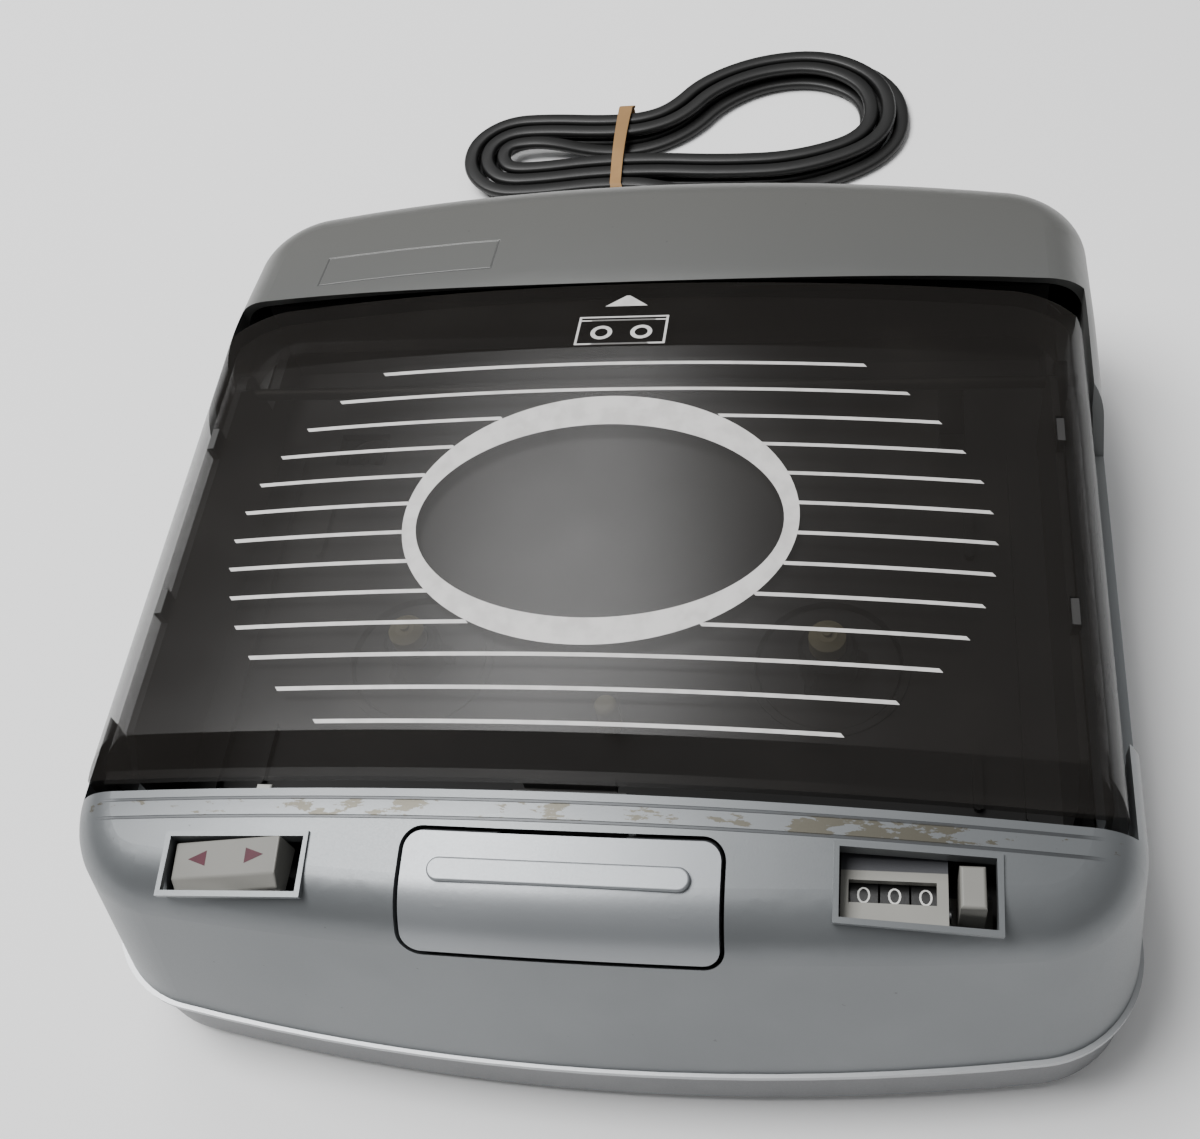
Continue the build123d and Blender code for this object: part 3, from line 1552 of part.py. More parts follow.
with BuildPart() as strain_relief:
    with BuildSketch(Plane.XY.offset(cord_exit_z)):
        with BuildLine():
            Polyline(
                (cord_exit_x, relief_start_y),
                (cord_exit_x + relief_radius + 1.1, relief_start_y),
                (cord_exit_x + relief_radius + 1.1, relief_start_y + 1.4),
                (cord_exit_x + relief_radius - 0.2, relief_start_y + 1.4),
                (cord_exit_x + relief_radius - 0.2, wall_outer_y + 0.3),
                (cord_exit_x + relief_radius + 1.0, wall_outer_y + 0.3),
                (cord_exit_x + relief_radius + 0.6, wall_outer_y + 2.3),
                (cord_exit_x + 3.2, wall_outer_y + relief_length),
                (cord_exit_x, wall_outer_y + relief_length),
                close=True,
            )
        make_face()
    revolve(axis=Axis((cord_exit_x, 0, cord_exit_z), (0, 1, 0)))

strain_relief.part.label = "strain_relief"
export_step(strain_relief.part, "parts/strain_relief.step")


def cord_radii(points):
    """Arc radius at each corner of a cord's route: as large as its two runs allow."""
    radii = []
    for before, corner, after in zip(points, points[1:], points[2:]):
        run_in = Vector(*corner) - Vector(*before)
        run_out = Vector(*after) - Vector(*corner)
        turn = radians(run_in.get_angle(run_out))
        radii.append(0.45 * min(run_in.length, run_out.length) / tan(turn / 2))
    return radii


def cord_tube(points):
    """Round tube along straight runs joined by tangent arcs."""
    radii = cord_radii(points)
    start = Vector(*points[0])
    with BuildPart() as tube:
        with BuildLine():
            route = FilletPolyline(*points, radius=radii)
        with BuildSketch(Plane(origin=start, z_dir=Vector(*points[1]) - start)):
            Circle(cord_diameter / 2)
        sweep(path=route)
    print("cord radii", [round(r, 1) for r in radii], "length", round(route.length, 1),
          "volume ratio", round(tube.part.volume / (pi * cord_diameter**2 / 4 * route.length), 4))
    return tube.part


def joined_arcs(start, start_way, end, end_way):
    """Two arcs that run from one point and direction to another, tangent where they meet."""
    span = end - start
    a = 2 * (1 - start_way.dot(end_way))
    b = 2 * span.dot(start_way + end_way)
    c = span.dot(span)
    reach = c / b if abs(a) < 1e-9 else (sqrt(b**2 + 4 * a * c) - b) / (2 * a)
    corner_in = start + start_way * reach
    corner_out = end - end_way * reach
    middle = (corner_in + corner_out) * 0.5
    middle_way = (corner_out - corner_in).normalized()
    return [(start, start_way, middle), (middle, middle_way, end)]


# The rest of the cord is wound into a flat hank of two layers, pinched at a waist by a band.
cord_pitch = cord_diameter + 0.9
layer_low = cord_diameter / 2 + 0.7
layer_high = layer_low + cord_diameter + 0.5
waist_x = -25.0
waist_y = 187.5
waist_half = 2.8
right_near_x = 20.0
right_far_x = 30.0
right_y = 201.0
right_half = 18.0
right_tip_x = 51.0
left_x = -58.0
left_half = 5.4
loops = 5
slant_rise = right_y + right_half - waist_y - waist_half
slant_run = right_far_x - waist_x
slant = 2 * atan2(slant_rise, slant_run)
ring_stations = [  # point and direction of the innermost ring, counter-clockwise
    ((waist_x, waist_y - waist_half), (1, 0)),
    ((right_near_x, right_y - right_half), (1, 0)),
    ((right_tip_x, right_y), (0, 1)),
    ((right_far_x, right_y + right_half), (-1, 0)),
    (
        (waist_x + slant_run / 2, waist_y + waist_half + slant_rise / 2),
        (-cos(slant), -sin(slant)),
    ),
    ((waist_x, waist_y + waist_half), (-1, 0)),
    ((left_x, waist_y + left_half), (-1, 0)),
    ((left_x - left_half, waist_y), (0, -1)),
    ((left_x, waist_y - left_half), (1, 0)),
]
station_step = 1 / len(ring_stations)
climb_turn = 2 + 5 * station_step
first_ring = climb_turn + station_step
cord_lead_way = Vector(0.94, 0.34, 0).normalized()
cord_tail_way = Vector(0.94, -0.34, 0).normalized()


def ring_at(turn):
    """Which ring of the hank, counted outward, the cord lies on after some turns."""
    since = turn - first_ring
    if since <= 0:
        return -since
    whole = int(since + 1e-9)
    part = since - whole
    out = 1 + station_step
    back = 1 - station_step
    return whole + (part * out / back if part <= back else out + back - part)


def hank_station(index):
    """Point and direction of the cord at one of the stations of its turns."""
    turn = index * station_step
    grow = cord_pitch * ring_at(turn)
    (x, y), (way_x, way_y) = ring_stations[index % len(ring_stations)]
    height = layer_low if turn <= climb_turn + 1e-9 else layer_high
    return Vector(x + grow * way_y, y - grow * way_x, height), Vector(way_x, way_y, 0)


hank_stations = [hank_station(index) for index in range(loops * len(ring_stations) + 1)]
hank_start = Vector(waist_x - 9.0, waist_y - 19.0, layer_low)
hank_end = Vector(waist_x + 16.0, waist_y - 19.0, layer_high)
straight_end = cord_diameter * 1.1
hank_arcs = joined_arcs(hank_start, cord_lead_way, *hank_stations[0])
for near, far in zip(hank_stations, hank_stations[1:]):
    hank_arcs += joined_arcs(*near, *far)
hank_arcs += joined_arcs(*hank_stations[-1], hank_end, cord_tail_way)
cord_lead_end = hank_start - cord_lead_way * straight_end
cord_tail_start = hank_end + cord_tail_way * straight_end

with BuildPart() as cord_hank:
    with BuildLine() as hank_line:
        Line(cord_lead_end, hank_start)
        for arc_start, arc_way, arc_end in hank_arcs:
            if arc_way.cross(arc_end - arc_start).length < 1e-4:
                Line(arc_start, arc_end)
            else:
                TangentArc(arc_start, arc_end, tangent=arc_way)
        Line(hank_end, cord_tail_start)
    with BuildSketch(Plane(origin=cord_lead_end, z_dir=cord_lead_way)):
        Circle(cord_diameter / 2)
    sweep(path=hank_line.wires()[0])

cord_hank.part.label = "cord_hank"
export_step(cord_hank.part, "parts/cord_hank.step")

hank_length = hank_line.wires()[0].length
hank_marks = [hank_line.wires()[0].position_at(k / 1200) for k in range(1201)]
mark_step = hank_length / 1200
apart = int(4 * cord_diameter / mark_step)
least_gap = min(
    (hank_marks[i] - hank_marks[j]).length
    for i in range(1201)
    for j in range(i + apart, 1201)
) - cord_diameter
print("hank length", round(hank_length, 1), "least gap", round(least_gap, 3),
      "tightest", round(min(e.radius for e in hank_line.edges() if e.geom_type == GeomType.CIRCLE), 2),
      "volume ratio", round(cord_hank.part.volume / (pi * cord_diameter**2 / 4 * hank_length), 4))

band_thickness = 0.5
band_width = 5.0
band_half = waist_half + cord_pitch * first_ring + cord_diameter / 2 + 0.1
band_low = layer_low - cord_diameter / 2 - 0.1
band_high = layer_high + cord_diameter / 2 + 0.1
band_corner = cord_diameter / 2

with BuildPart() as cord_band:
    with BuildSketch(Plane.YZ.offset(waist_x - band_width / 2)):
        with Locations((waist_y, (band_low + band_high) / 2)):
            RectangleRounded(
                2 * (band_half + band_thickness),
                band_high - band_low + 2 * band_thickness,
                band_corner + band_thickness,
            )
            RectangleRounded(
                2 * band_half,
                band_high - band_low,
                band_corner,
                mode=Mode.SUBTRACT,
            )
    extrude(amount=band_width)

cord_band.part.label = "cord_band"
export_step(cord_band.part, "parts/cord_band.step")

# Free stretch from the strain relief to the hank
relief_tip = Vector(cord_exit_x, wall_outer_y + relief_length, cord_exit_z)
lead_route = [
    relief_tip,
    relief_tip + Vector(0, 14.4, 0),
    cord_lead_end - cord_lead_way * 10.0,
    cord_lead_end,
]
lead_tube = cord_tube(lead_route)
lead_tube.label = "power_cord"
export_step(lead_tube, "parts/power_cord.step")

# Free stretch from the hank to the plug
plug_x = 44.0
plug_y = 141.0
plug_size = (21, 15.6)
tail_route = [
    cord_tail_start,
    cord_tail_start + cord_tail_way * 14.0,
    Vector(plug_x - 18.0, plug_y, layer_high),
    Vector(plug_x, plug_y, layer_high),
]
tail_tube = cord_tube(tail_route)
tail_tube.label = "power_cord_tail"
export_step(tail_tube, "parts/power_cord_tail.step")

plug_neck = 12.0
plug_body = 18.0
blade_spacing = 12.7
blade_length = 17.0

with BuildPart() as power_plug:
    with BuildSketch(Plane.YZ.offset(plug_x)):
        with Locations((plug_y, layer_high)):
            RectangleRounded(10, 9, 3.5)
    with BuildSketch(Plane.YZ.offset(plug_x + plug_neck)):
        with Locations((plug_y, layer_high)):
            RectangleRounded(*plug_size, 4)
    loft()
    with BuildSketch(Plane.YZ.offset(plug_x + plug_neck)):
        with Locations((plug_y, layer_high)):
            RectangleRounded(*plug_size, 4)
    extrude(amount=plug_body)
    with BuildSketch(Plane.YZ.offset(plug_x + plug_neck + plug_body)):
        with Locations((plug_y, layer_high)):
            with GridLocations(blade_spacing, 0, 2, 1):
                Rectangle(1.5, 6.4)
    extrude(amount=blade_length)

power_plug.part.label = "power_plug"
export_step(power_plug.part, "parts/power_plug.step")
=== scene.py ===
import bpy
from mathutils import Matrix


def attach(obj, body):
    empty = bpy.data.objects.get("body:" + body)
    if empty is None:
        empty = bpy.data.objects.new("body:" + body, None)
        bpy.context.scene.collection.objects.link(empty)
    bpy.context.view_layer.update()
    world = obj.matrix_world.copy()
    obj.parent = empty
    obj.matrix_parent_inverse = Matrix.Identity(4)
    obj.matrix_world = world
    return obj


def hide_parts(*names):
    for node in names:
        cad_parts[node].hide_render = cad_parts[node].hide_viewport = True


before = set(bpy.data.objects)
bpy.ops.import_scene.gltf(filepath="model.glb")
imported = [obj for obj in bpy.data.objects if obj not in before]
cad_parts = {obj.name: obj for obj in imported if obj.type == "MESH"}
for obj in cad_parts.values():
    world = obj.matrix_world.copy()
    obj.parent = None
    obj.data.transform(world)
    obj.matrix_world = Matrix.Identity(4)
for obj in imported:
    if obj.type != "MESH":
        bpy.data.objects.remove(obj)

"""Looks of a video cassette rewinder: silver case, smoked lid, counter, rocker and a wound mains cord.

Lengths are metres in the frame of the CAD: +X right, +Y rear, +Z up, origin at the bottom centre.
"""

import logging
from dataclasses import dataclass, field
from enum import Enum
from math import atan2, cos, pi, radians, sin, sqrt, tan

import bpy
from mathutils import Matrix, Vector

logging.basicConfig(level=logging.INFO, format="%(levelname)s %(message)s")
log = logging.getLogger("rewinder")

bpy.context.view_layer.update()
MM = 0.001

CROWN_RADIUS = 650 * MM
CROWN_TOP = 78 * MM
PANEL_SLOPE = radians(8.1)
GROOVE_Y = (-73.4 * MM, -77.2 * MM)
COUNTER_STRIP_Y = -81.2 * MM
BEAD = (20.2 * MM, 22.4 * MM)


class Side(Enum):
    """Which way a printed arrow points along the rocker."""

    LEFT = -1
    RIGHT = 1


class Step(Enum):
    """A step of a surface's recipe: Blender's node, its settings, the sockets fed in order, its output."""

    PLACE = ("ShaderNodeTexCoord", {}, (), "Object")
    DIRECTION = ("ShaderNodeTexCoord", {}, (), "Generated")
    X = ("ShaderNodeSeparateXYZ", {}, (0,), 0)
    Y = ("ShaderNodeSeparateXYZ", {}, (0,), 1)
    Z = ("ShaderNodeSeparateXYZ", {}, (0,), 2)
    STRETCH = ("ShaderNodeMapping", {}, ("Vector", "Scale", "Rotation"), 0)
    NOISE = ("ShaderNodeTexNoise", {}, ("Vector", "Scale", "Detail", "Roughness"), "Fac")
    SMOOTH = (
        "ShaderNodeMapRange",
        {"interpolation_type": "SMOOTHSTEP"},
        ("Value", "From Min", "From Max"),
        "Result",
    )
    BLEND = ("ShaderNodeMix", {"data_type": "RGBA"}, (0, 6, 7), 2)
    PLUS = ("ShaderNodeMath", {"operation": "ADD"}, (0, 1), 0)
    MINUS = ("ShaderNodeMath", {"operation": "SUBTRACT"}, (0, 1), 0)
    TIMES = ("ShaderNodeMath", {"operation": "MULTIPLY"}, (0, 1), 0)
    TIMES_PLUS = ("ShaderNodeMath", {"operation": "MULTIPLY_ADD"}, (0, 1, 2), 0)
    UNSIGNED = ("ShaderNodeMath", {"operation": "ABSOLUTE"}, (0,), 0)
    LARGER = ("ShaderNodeMath", {"operation": "MAXIMUM"}, (0, 1), 0)
    RELIEF = ("ShaderNodeBump", {}, ("Strength", "Distance", "Height"), "Normal")
    SURFACE = (
        "ShaderNodeBsdfPrincipled",
        {},
        ("Base Color", "Roughness", "Metallic", "IOR", "Alpha", "Normal"),
        "BSDF",
    )


Feed = bpy.types.NodeSocket | float | tuple[float, float, float] | str


# ---------------------------------------------------------------- small helpers
def linear(code: str) -> tuple[float, float, float, float]:
    """Turns an sRGB hex colour to linear light.

    Args:
        code: six hex digits, with or without a leading mark.

    Returns:
        Red, green, blue and alpha 1.
    """
    digits = code.lstrip("#")
    parts = [int(digits[i : i + 2], 16) / 255 for i in (0, 2, 4)]
    light = [p / 12.92 if p <= 0.04045 else ((p + 0.055) / 1.055) ** 2.4 for p in parts]
    return (light[0], light[1], light[2], 1.0)


def add_node(tree: bpy.types.NodeTree, step: Step, *values: Feed) -> bpy.types.NodeSocket:
    """Adds a shader node with its settings and what feeds its sockets.

    Args:
        tree: the node tree that takes it.
        step: the kind of node, with its settings.
        values: an output socket, a value or an sRGB hex colour for each socket of the step.

    Returns:
        The node's output.
    """
    kind, settings, inputs, output = step.value
    node = tree.nodes.new(kind)
    for name, setting in settings.items():
        setattr(node, name, setting)
    for name, value in zip(inputs, values):
        if isinstance(value, bpy.types.NodeSocket):
            tree.links.new(value, node.inputs[name])
        else:
            node.inputs[name].default_value = linear(value) if isinstance(value, str) else value
    return node.outputs[output]


def stripe(
    tree: bpy.types.NodeTree, source: bpy.types.NodeSocket, centre: float, half: float, soft: float
) -> bpy.types.NodeSocket:
    """A value that is 1 on a narrow stripe and 0 away from it.

    Args:
        tree: the node tree.
        source: the coordinate across the stripe.
        centre: the stripe's middle.
        half: half its width.
        soft: the width of its soft edge.

    Returns:
        The socket with the stripe.
    """
    off = add_node(tree, Step.UNSIGNED, add_node(tree, Step.MINUS, source, centre))
    return add_node(tree, Step.MINUS, 1.0, add_node(tree, Step.SMOOTH, off, half, half + soft))


def finish_surface(
    tree: bpy.types.NodeTree,
    colour: Feed,
    roughness: Feed,
    metallic: float = 0.0,
    ior: float = 1.5,
    alpha: float = 1.0,
    relief: bpy.types.NodeSocket | None = None,
) -> None:
    """Gives a material its surface shader.

    Args:
        tree: the node tree.
        colour: the colour over the surface.
        roughness: the roughness over the surface.
        metallic: how metallic it is.
        ior: its index of refraction.
        alpha: how much it hides of what lies behind it.
        relief: the output with its fine relief, where it has one.
    """
    normal = () if relief is None else (relief,)
    shader = add_node(tree, Step.SURFACE, colour, roughness, metallic, ior, alpha, *normal)
    tree.links.new(shader, tree.nodes["Material Output"].inputs["Surface"])


def new_material(name: str) -> tuple[bpy.types.Material, bpy.types.NodeTree, bpy.types.NodeSocket]:
    """A material without a surface shader.

    Args:
        name: the material's name.

    Returns:
        The material, its node tree and the output with the place on the surface.
    """
    material = bpy.data.materials.new(name)
    material.use_nodes = True
    tree = material.node_tree
    tree.nodes.remove(tree.nodes["Principled BSDF"])
    return material, tree, add_node(tree, Step.PLACE)


def dress(names: list[str], material: bpy.types.Material) -> None:
    """Gives a finish to CAD nodes.

    Args:
        names: the nodes.
        material: the finish.
    """
    for name in names:
        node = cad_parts[name]
        if not node.material_slots:
            node.data.materials.append(material)
        for slot in node.material_slots:
            slot.material = material


def mesh_piece(
    name: str,
    points: list[tuple[float, float, float]],
    faces: list[tuple[int, ...]],
    material: bpy.types.Material,
    smooth: bool = False,
) -> bpy.types.Object:
    """A new mesh piece of the object.

    Args:
        name: the piece's name.
        points: its vertices.
        faces: its faces by vertex number.
        material: its finish.
        smooth: whether its faces are shaded smooth.

    Returns:
        The piece.
    """
    mesh = bpy.data.meshes.new(name)
    mesh.from_pydata([tuple(p) for p in points], [], faces)
    mesh.validate()
    mesh.update()
    if smooth:
        for face in mesh.polygons:
            face.use_smooth = True
    mesh.materials.append(material)
    piece = bpy.data.objects.new(name, mesh)
    bpy.context.scene.collection.objects.link(piece)
    return piece


def ring_faces(rings: int, around: int, closed: bool = False, caps: bool = True) -> list[tuple[int, ...]]:
    """Faces of a tube made of rings of points.

    Args:
        rings: how many rings it has.
        around: how many points a ring has.
        closed: whether the last ring joins the first.
        caps: whether its open ends are closed.

    Returns:
        The faces.
    """
    faces = []
    for i in range(rings if closed else rings - 1):
        for j in range(around):
            a = i * around + j
            b = i * around + (j + 1) % around
            c = ((i + 1) % rings) * around + (j + 1) % around
            d = ((i + 1) % rings) * around + j
            faces.append((a, b, c, d))
    if caps and not closed:
        faces.append(tuple(reversed(range(around))))
        faces.append(tuple((rings - 1) * around + j for j in range(around)))
    return faces


def crown_drop(x: float) -> float:
    """Fall of the crowned surfaces at a distance from the centre line."""
    return CROWN_RADIUS - sqrt(CROWN_RADIUS**2 - x**2)


# ---------------------------------------------------------------- finishes
@dataclass(frozen=True)
class SilverPaint:
    """Silver lacquer on moulded ABS: fine metal flake under a satin binder.

    The flake gives a soft wide highlight that turns with the surface, and the lacquer rubs
    through to the warm grey plastic along the front lip.
    """

    name: str = "silver_lacquer_on_abs"
    colour: str = "#797c7e"
    dark: str = "#717476"
    # colour of the rear band: painted shade, where the band slopes away from the light
    rear: str = "#72726f"
    bare: str = "#5b584e"
    # colour of the bead at the parting line: a painted highlight, where its fillet catches the light
    bead_highlight: str = "#b4b6b8"
    chip: str = "#4c4d4e"
    # colour of the groove lines and the plate's border: painted shade, as if shaded in their recesses
    groove: str = "#37383a"
    flake_mm: float = 0.35  # real flake is finer; drawn coarse enough to show in the render
    cloud_mm: float = 60.0
    chip_mm: float = 3.2
    wear_mm: float = 2.2
    # switches the lip's wear together with the bead's painted highlight and the painted shade of the groove
    # lines
    lip_wear_and_painted_light: bool = True
    roughness: float = 0.4
    metallic: float = 0.55
    rear_shade_span: tuple[float, float] = (-30.0 * MM, 110.0 * MM)  # where the colour passes to the painted shade of the rear
    panel_top: tuple[float, float] = (60.8 * MM, 61.8 * MM)  # heights between which the panel begins
    lip: tuple[float, float] = (-75.3 * MM, 1.5 * MM)  # middle and half width of the worn lip
    worn_spots: tuple[tuple[float, float, float], ...] = (  # middle, half length, how much more is worn
        (56.5 * MM, 13.0 * MM, 0.16),
        (-40.0 * MM, 12.0 * MM, 0.075),
        (-4.0 * MM, 7.0 * MM, 0.085),
    )
    groove_end: tuple[float, float] = (93.0 * MM, 99.0 * MM)  # where the groove lines fade out
    groove_half: float = 0.22 * MM
    plate: tuple[float, float] = (-59.0 * MM, 73.75 * MM)  # middle of the blank plate
    plate_half: tuple[float, float] = (23.0 * MM, 5.75 * MM)
    plate_height: tuple[float, float] = (60.0 * MM, 61.0 * MM)
    border_half: float = 0.18 * MM
    line_soft: float = 0.15 * MM

    def chipped(
        self, tree: bpy.types.NodeTree, where: bpy.types.NodeSocket, colour: bpy.types.NodeSocket
    ) -> bpy.types.NodeSocket:
        """Small dark chips, scattered over the paint.

        Args:
            tree: the node tree.
            where: the place on the surface.
            colour: the colour so far.

        Returns:
            The socket with the chipped colour.
        """
        chips = add_node(tree, Step.NOISE, where, 1 / (self.chip_mm * MM), 5.0)
        share = add_node(tree, Step.TIMES, add_node(tree, Step.SMOOTH, chips, 0.735, 0.75), 0.55)
        return add_node(tree, Step.BLEND, share, colour, self.chip)

    def wear_and_bead_highlight(
        self,
        tree: bpy.types.NodeTree,
        where: bpy.types.NodeSocket,
        panel: bpy.types.NodeSocket,
        colour: bpy.types.NodeSocket,
    ) -> bpy.types.NodeSocket:
        """The front lip's lacquer broken through to the plastic in patches, and a painted highlight along
        the bead at the parting line.

        Args:
            tree: the node tree.
            where: the place on the surface.
            panel: 1 on the panel and 0 below it.
            colour: the colour so far.

        Returns:
            The socket with the lip's wear and the bead's painted highlight.
        """
        x, y, z = (add_node(tree, axis, where) for axis in (Step.X, Step.Y, Step.Z))
        lip = add_node(tree, Step.TIMES, stripe(tree, y, *self.lip, 0.6 * MM), panel)
        drawn = add_node(tree, Step.STRETCH, where, (0.35, 1.0, 1.0))
        patches = add_node(tree, Step.NOISE, drawn, 1 / (self.wear_mm * MM), 6.0, 0.65)
        for centre, half, amount in self.worn_spots:
            near = add_node(tree, Step.TIMES, stripe(tree, x, centre, half, 6.0 * MM), amount)
            patches = add_node(tree, Step.PLUS, patches, near)
        rubbed_through = add_node(tree, Step.TIMES, lip, add_node(tree, Step.SMOOTH, patches, 0.60, 0.63))
        colour = add_node(tree, Step.BLEND, rubbed_through, colour, self.bare)
        # painted highlight: the bead at the parting line is lightened as if it catches the light
        bead = stripe(tree, z, sum(BEAD) / 2, (BEAD[1] - BEAD[0]) / 2, 0.2 * MM)
        return add_node(tree, Step.BLEND, bead, colour, self.bead_highlight)

    def marks(
        self, tree: bpy.types.NodeTree, where: bpy.types.NodeSocket, panel: bpy.types.NodeSocket
    ) -> tuple[bpy.types.NodeSocket, bpy.types.NodeSocket]:
        """The panel's groove lines and the blank plate.

        Args:
            tree: the node tree.
            where: the place on the surface.
            panel: 1 on the panel and 0 below it.

        Returns:
            Where the lines and the plate's border run, and where the plate lies.
        """
        x, y, z = (add_node(tree, axis, where) for axis in (Step.X, Step.Y, Step.Z))
        past_end = add_node(tree, Step.SMOOTH, add_node(tree, Step.UNSIGNED, x), *self.groove_end)
        inside = add_node(tree, Step.TIMES, add_node(tree, Step.MINUS, 1.0, past_end), panel)
        grooves = [stripe(tree, y, at, self.groove_half, self.line_soft) for at in GROOVE_Y]
        line = add_node(tree, Step.TIMES, add_node(tree, Step.PLUS, *grooves), inside)
        sides = []
        for source, middle, half in zip((x, y), self.plate, self.plate_half):
            off = add_node(tree, Step.UNSIGNED, add_node(tree, Step.MINUS, source, middle))
            sides.append(add_node(tree, Step.MINUS, off, half))
        past_edge = add_node(tree, Step.LARGER, *sides)
        rear_panel = add_node(tree, Step.SMOOTH, z, *self.plate_height)
        edge = stripe(tree, past_edge, 0.0, self.border_half, self.line_soft)
        border = add_node(tree, Step.TIMES, add_node(tree, Step.TIMES, edge, rear_panel), 0.55)
        within = add_node(tree, Step.MINUS, 1.0, add_node(tree, Step.SMOOTH, past_edge, -0.3 * MM, 0.0))
        return add_node(tree, Step.LARGER, line, border), add_node(tree, Step.TIMES, within, rear_panel)

    def build(self) -> bpy.types.Material:
        """Makes the material.

        Returns:
            The finish, with flake and chips; the case also has wear on the lip, groove lines with painted
            shade, a painted highlight on the bead, painted shade toward the rear and the blank plate.
        """
        material, tree, where = new_material(self.name)
        y, z = (add_node(tree, axis, where) for axis in (Step.Y, Step.Z))
        flake = add_node(tree, Step.NOISE, where, 1 / (self.flake_mm * MM), 2.0)
        cloud = add_node(tree, Step.NOISE, where, 1 / (self.cloud_mm * MM), 4.0)
        clouded = add_node(tree, Step.SMOOTH, cloud, 0.35, 0.65)
        colour = add_node(tree, Step.BLEND, clouded, self.colour, self.dark)
        # painted shade: the colour darkens toward the rear band
        rear_shade_share = add_node(tree, Step.SMOOTH, y, *self.rear_shade_span)
        colour = add_node(tree, Step.BLEND, rear_shade_share, colour, self.rear)
        colour = self.chipped(tree, where, colour)
        height = add_node(tree, Step.TIMES, flake, 0.015 * MM)
        if self.lip_wear_and_painted_light:
            panel = add_node(tree, Step.SMOOTH, z, *self.panel_top)
            colour = self.wear_and_bead_highlight(tree, where, panel, colour)
            marks, plate = self.marks(tree, where, panel)
            # painted shade: the groove lines and the plate's border are darkened as if shaded in their
            # recesses
            groove_shade_share = add_node(tree, Step.TIMES, marks, 0.75)
            colour = add_node(tree, Step.BLEND, groove_shade_share, colour, self.groove)
            for mark, depth in ((marks, 0.4 * MM), (plate, 0.3 * MM)):
                height = add_node(tree, Step.MINUS, height, add_node(tree, Step.TIMES, mark, depth))
        roughness = add_node(tree, Step.TIMES_PLUS, flake, 0.12, self.roughness - 0.06)
        relief = add_node(tree, Step.RELIEF, 0.55, 1.0, height)
        finish_surface(tree, colour, roughness, metallic=self.metallic, relief=relief)
        return material


@dataclass(frozen=True)
class MouldedPlastic:
    """Moulded thermoplastic such as ABS or acetal, with the tool's spark-eroded texture."""

    name: str
    colour: str
    other: str
    texture_mm: float = 0.5
    depth_mm: float = 0.02
    roughness: float = 0.5
    shade: str = ""  # painted shade on the part that lies back in the counter's recess

    def build(self) -> bpy.types.Material:
        """Makes the material.

        Returns:
            The finish, with the mould's grain, and painted shade where one is set.
        """
        material, tree, where = new_material(self.name)
        grain = add_node(tree, Step.NOISE, where, 1 / (self.texture_mm * MM), 3.0)
        cloud = add_node(tree, Step.NOISE, where, 1 / (20.0 * MM), 3.0)
        clouded = add_node(tree, Step.SMOOTH, cloud, 0.3, 0.7)
        colour = add_node(tree, Step.BLEND, clouded, self.colour, self.other)
        if self.shade:
            # painted shade over the part of the counter frame behind the strip line
            y = add_node(tree, Step.Y, where)
            back = add_node(tree, Step.SMOOTH, y, COUNTER_STRIP_Y - 0.1 * MM, COUNTER_STRIP_Y + 0.1 * MM)
            colour = add_node(tree, Step.BLEND, back, colour, self.shade)
        roughness = add_node(tree, Step.TIMES_PLUS, grain, 0.15, self.roughness - 0.075)
        height = add_node(tree, Step.TIMES, grain, self.depth_mm * MM)
        relief = add_node(tree, Step.RELIEF, 0.6, 1.0, height)
        finish_surface(tree, colour, roughness, relief=relief)
        return material


@dataclass(frozen=True)
class SmokedStyrene:
    """Smoked clear polystyrene: brown-black, seen through only where the light is strong.

    It was moulded bright and has dulled, so it has a soft gloss, fine hairline scratches and dust.
    """

    name: str = "smoked_polystyrene"
    colour: str = "#15110d"
    dust: str = "#57534c"
    scratch_mm: float = 9.0  # length of a hairline
    alpha: float = 0.5
    ior: float = 1.59
    roughness: float = 0.2

    def build(self) -> bpy.types.Material:
        """Makes the material.

        Returns:
            The finish, with hairlines and a thin haze of dust.
        """
        material, tree, where = new_material(self.name)
        stretched = add_node(tree, Step.STRETCH, where, (1.0, 14.0, 1.0), (0.0, 0.0, 0.5))
        hair = add_node(tree, Step.NOISE, stretched, 1 / (self.scratch_mm * MM), 6.0, 0.7)
        scratch = add_node(tree, Step.TIMES, add_node(tree, Step.SMOOTH, hair, 0.66, 0.72), 0.10)
        cloud = add_node(tree, Step.NOISE, where, 1 / (30.0 * MM), 5.0)
        haze = add_node(tree, Step.TIMES, add_node(tree, Step.SMOOTH, cloud, 0.45, 0.75), 0.05)
        dusty = add_node(tree, Step.PLUS, scratch, haze)
        colour = add_node(tree, Step.BLEND, dusty, self.colour, self.dust)
        roughness = add_node(tree, Step.TIMES_PLUS, cloud, 0.12, self.roughness)
        finish_surface(tree, colour, roughness, ior=self.ior, alpha=self.alpha)
        return material


@dataclass(frozen=True)
class PrintedInk:
    """Screen-printed ink, a little rough, with a slightly uneven film."""

    name: str
    colour: str
    other: str
    roughness: float = 0.45
    metallic: float = 0.0

    def build(self) -> bpy.types.Material:
        """Makes the material.

        Returns:
            The finish, with its uneven film.
        """
        material, tree, where = new_material(self.name)
        film = add_node(tree, Step.NOISE, where, 1 / (4.0 * MM), 4.0)
        thinned = add_node(tree, Step.SMOOTH, film, 0.35, 0.7)
        colour = add_node(tree, Step.BLEND, thinned, self.colour, self.other)
        roughness = add_node(tree, Step.TIMES_PLUS, film, 0.1, self.roughness - 0.05)
        finish_surface(tree, colour, roughness, metallic=self.metallic)
        return material


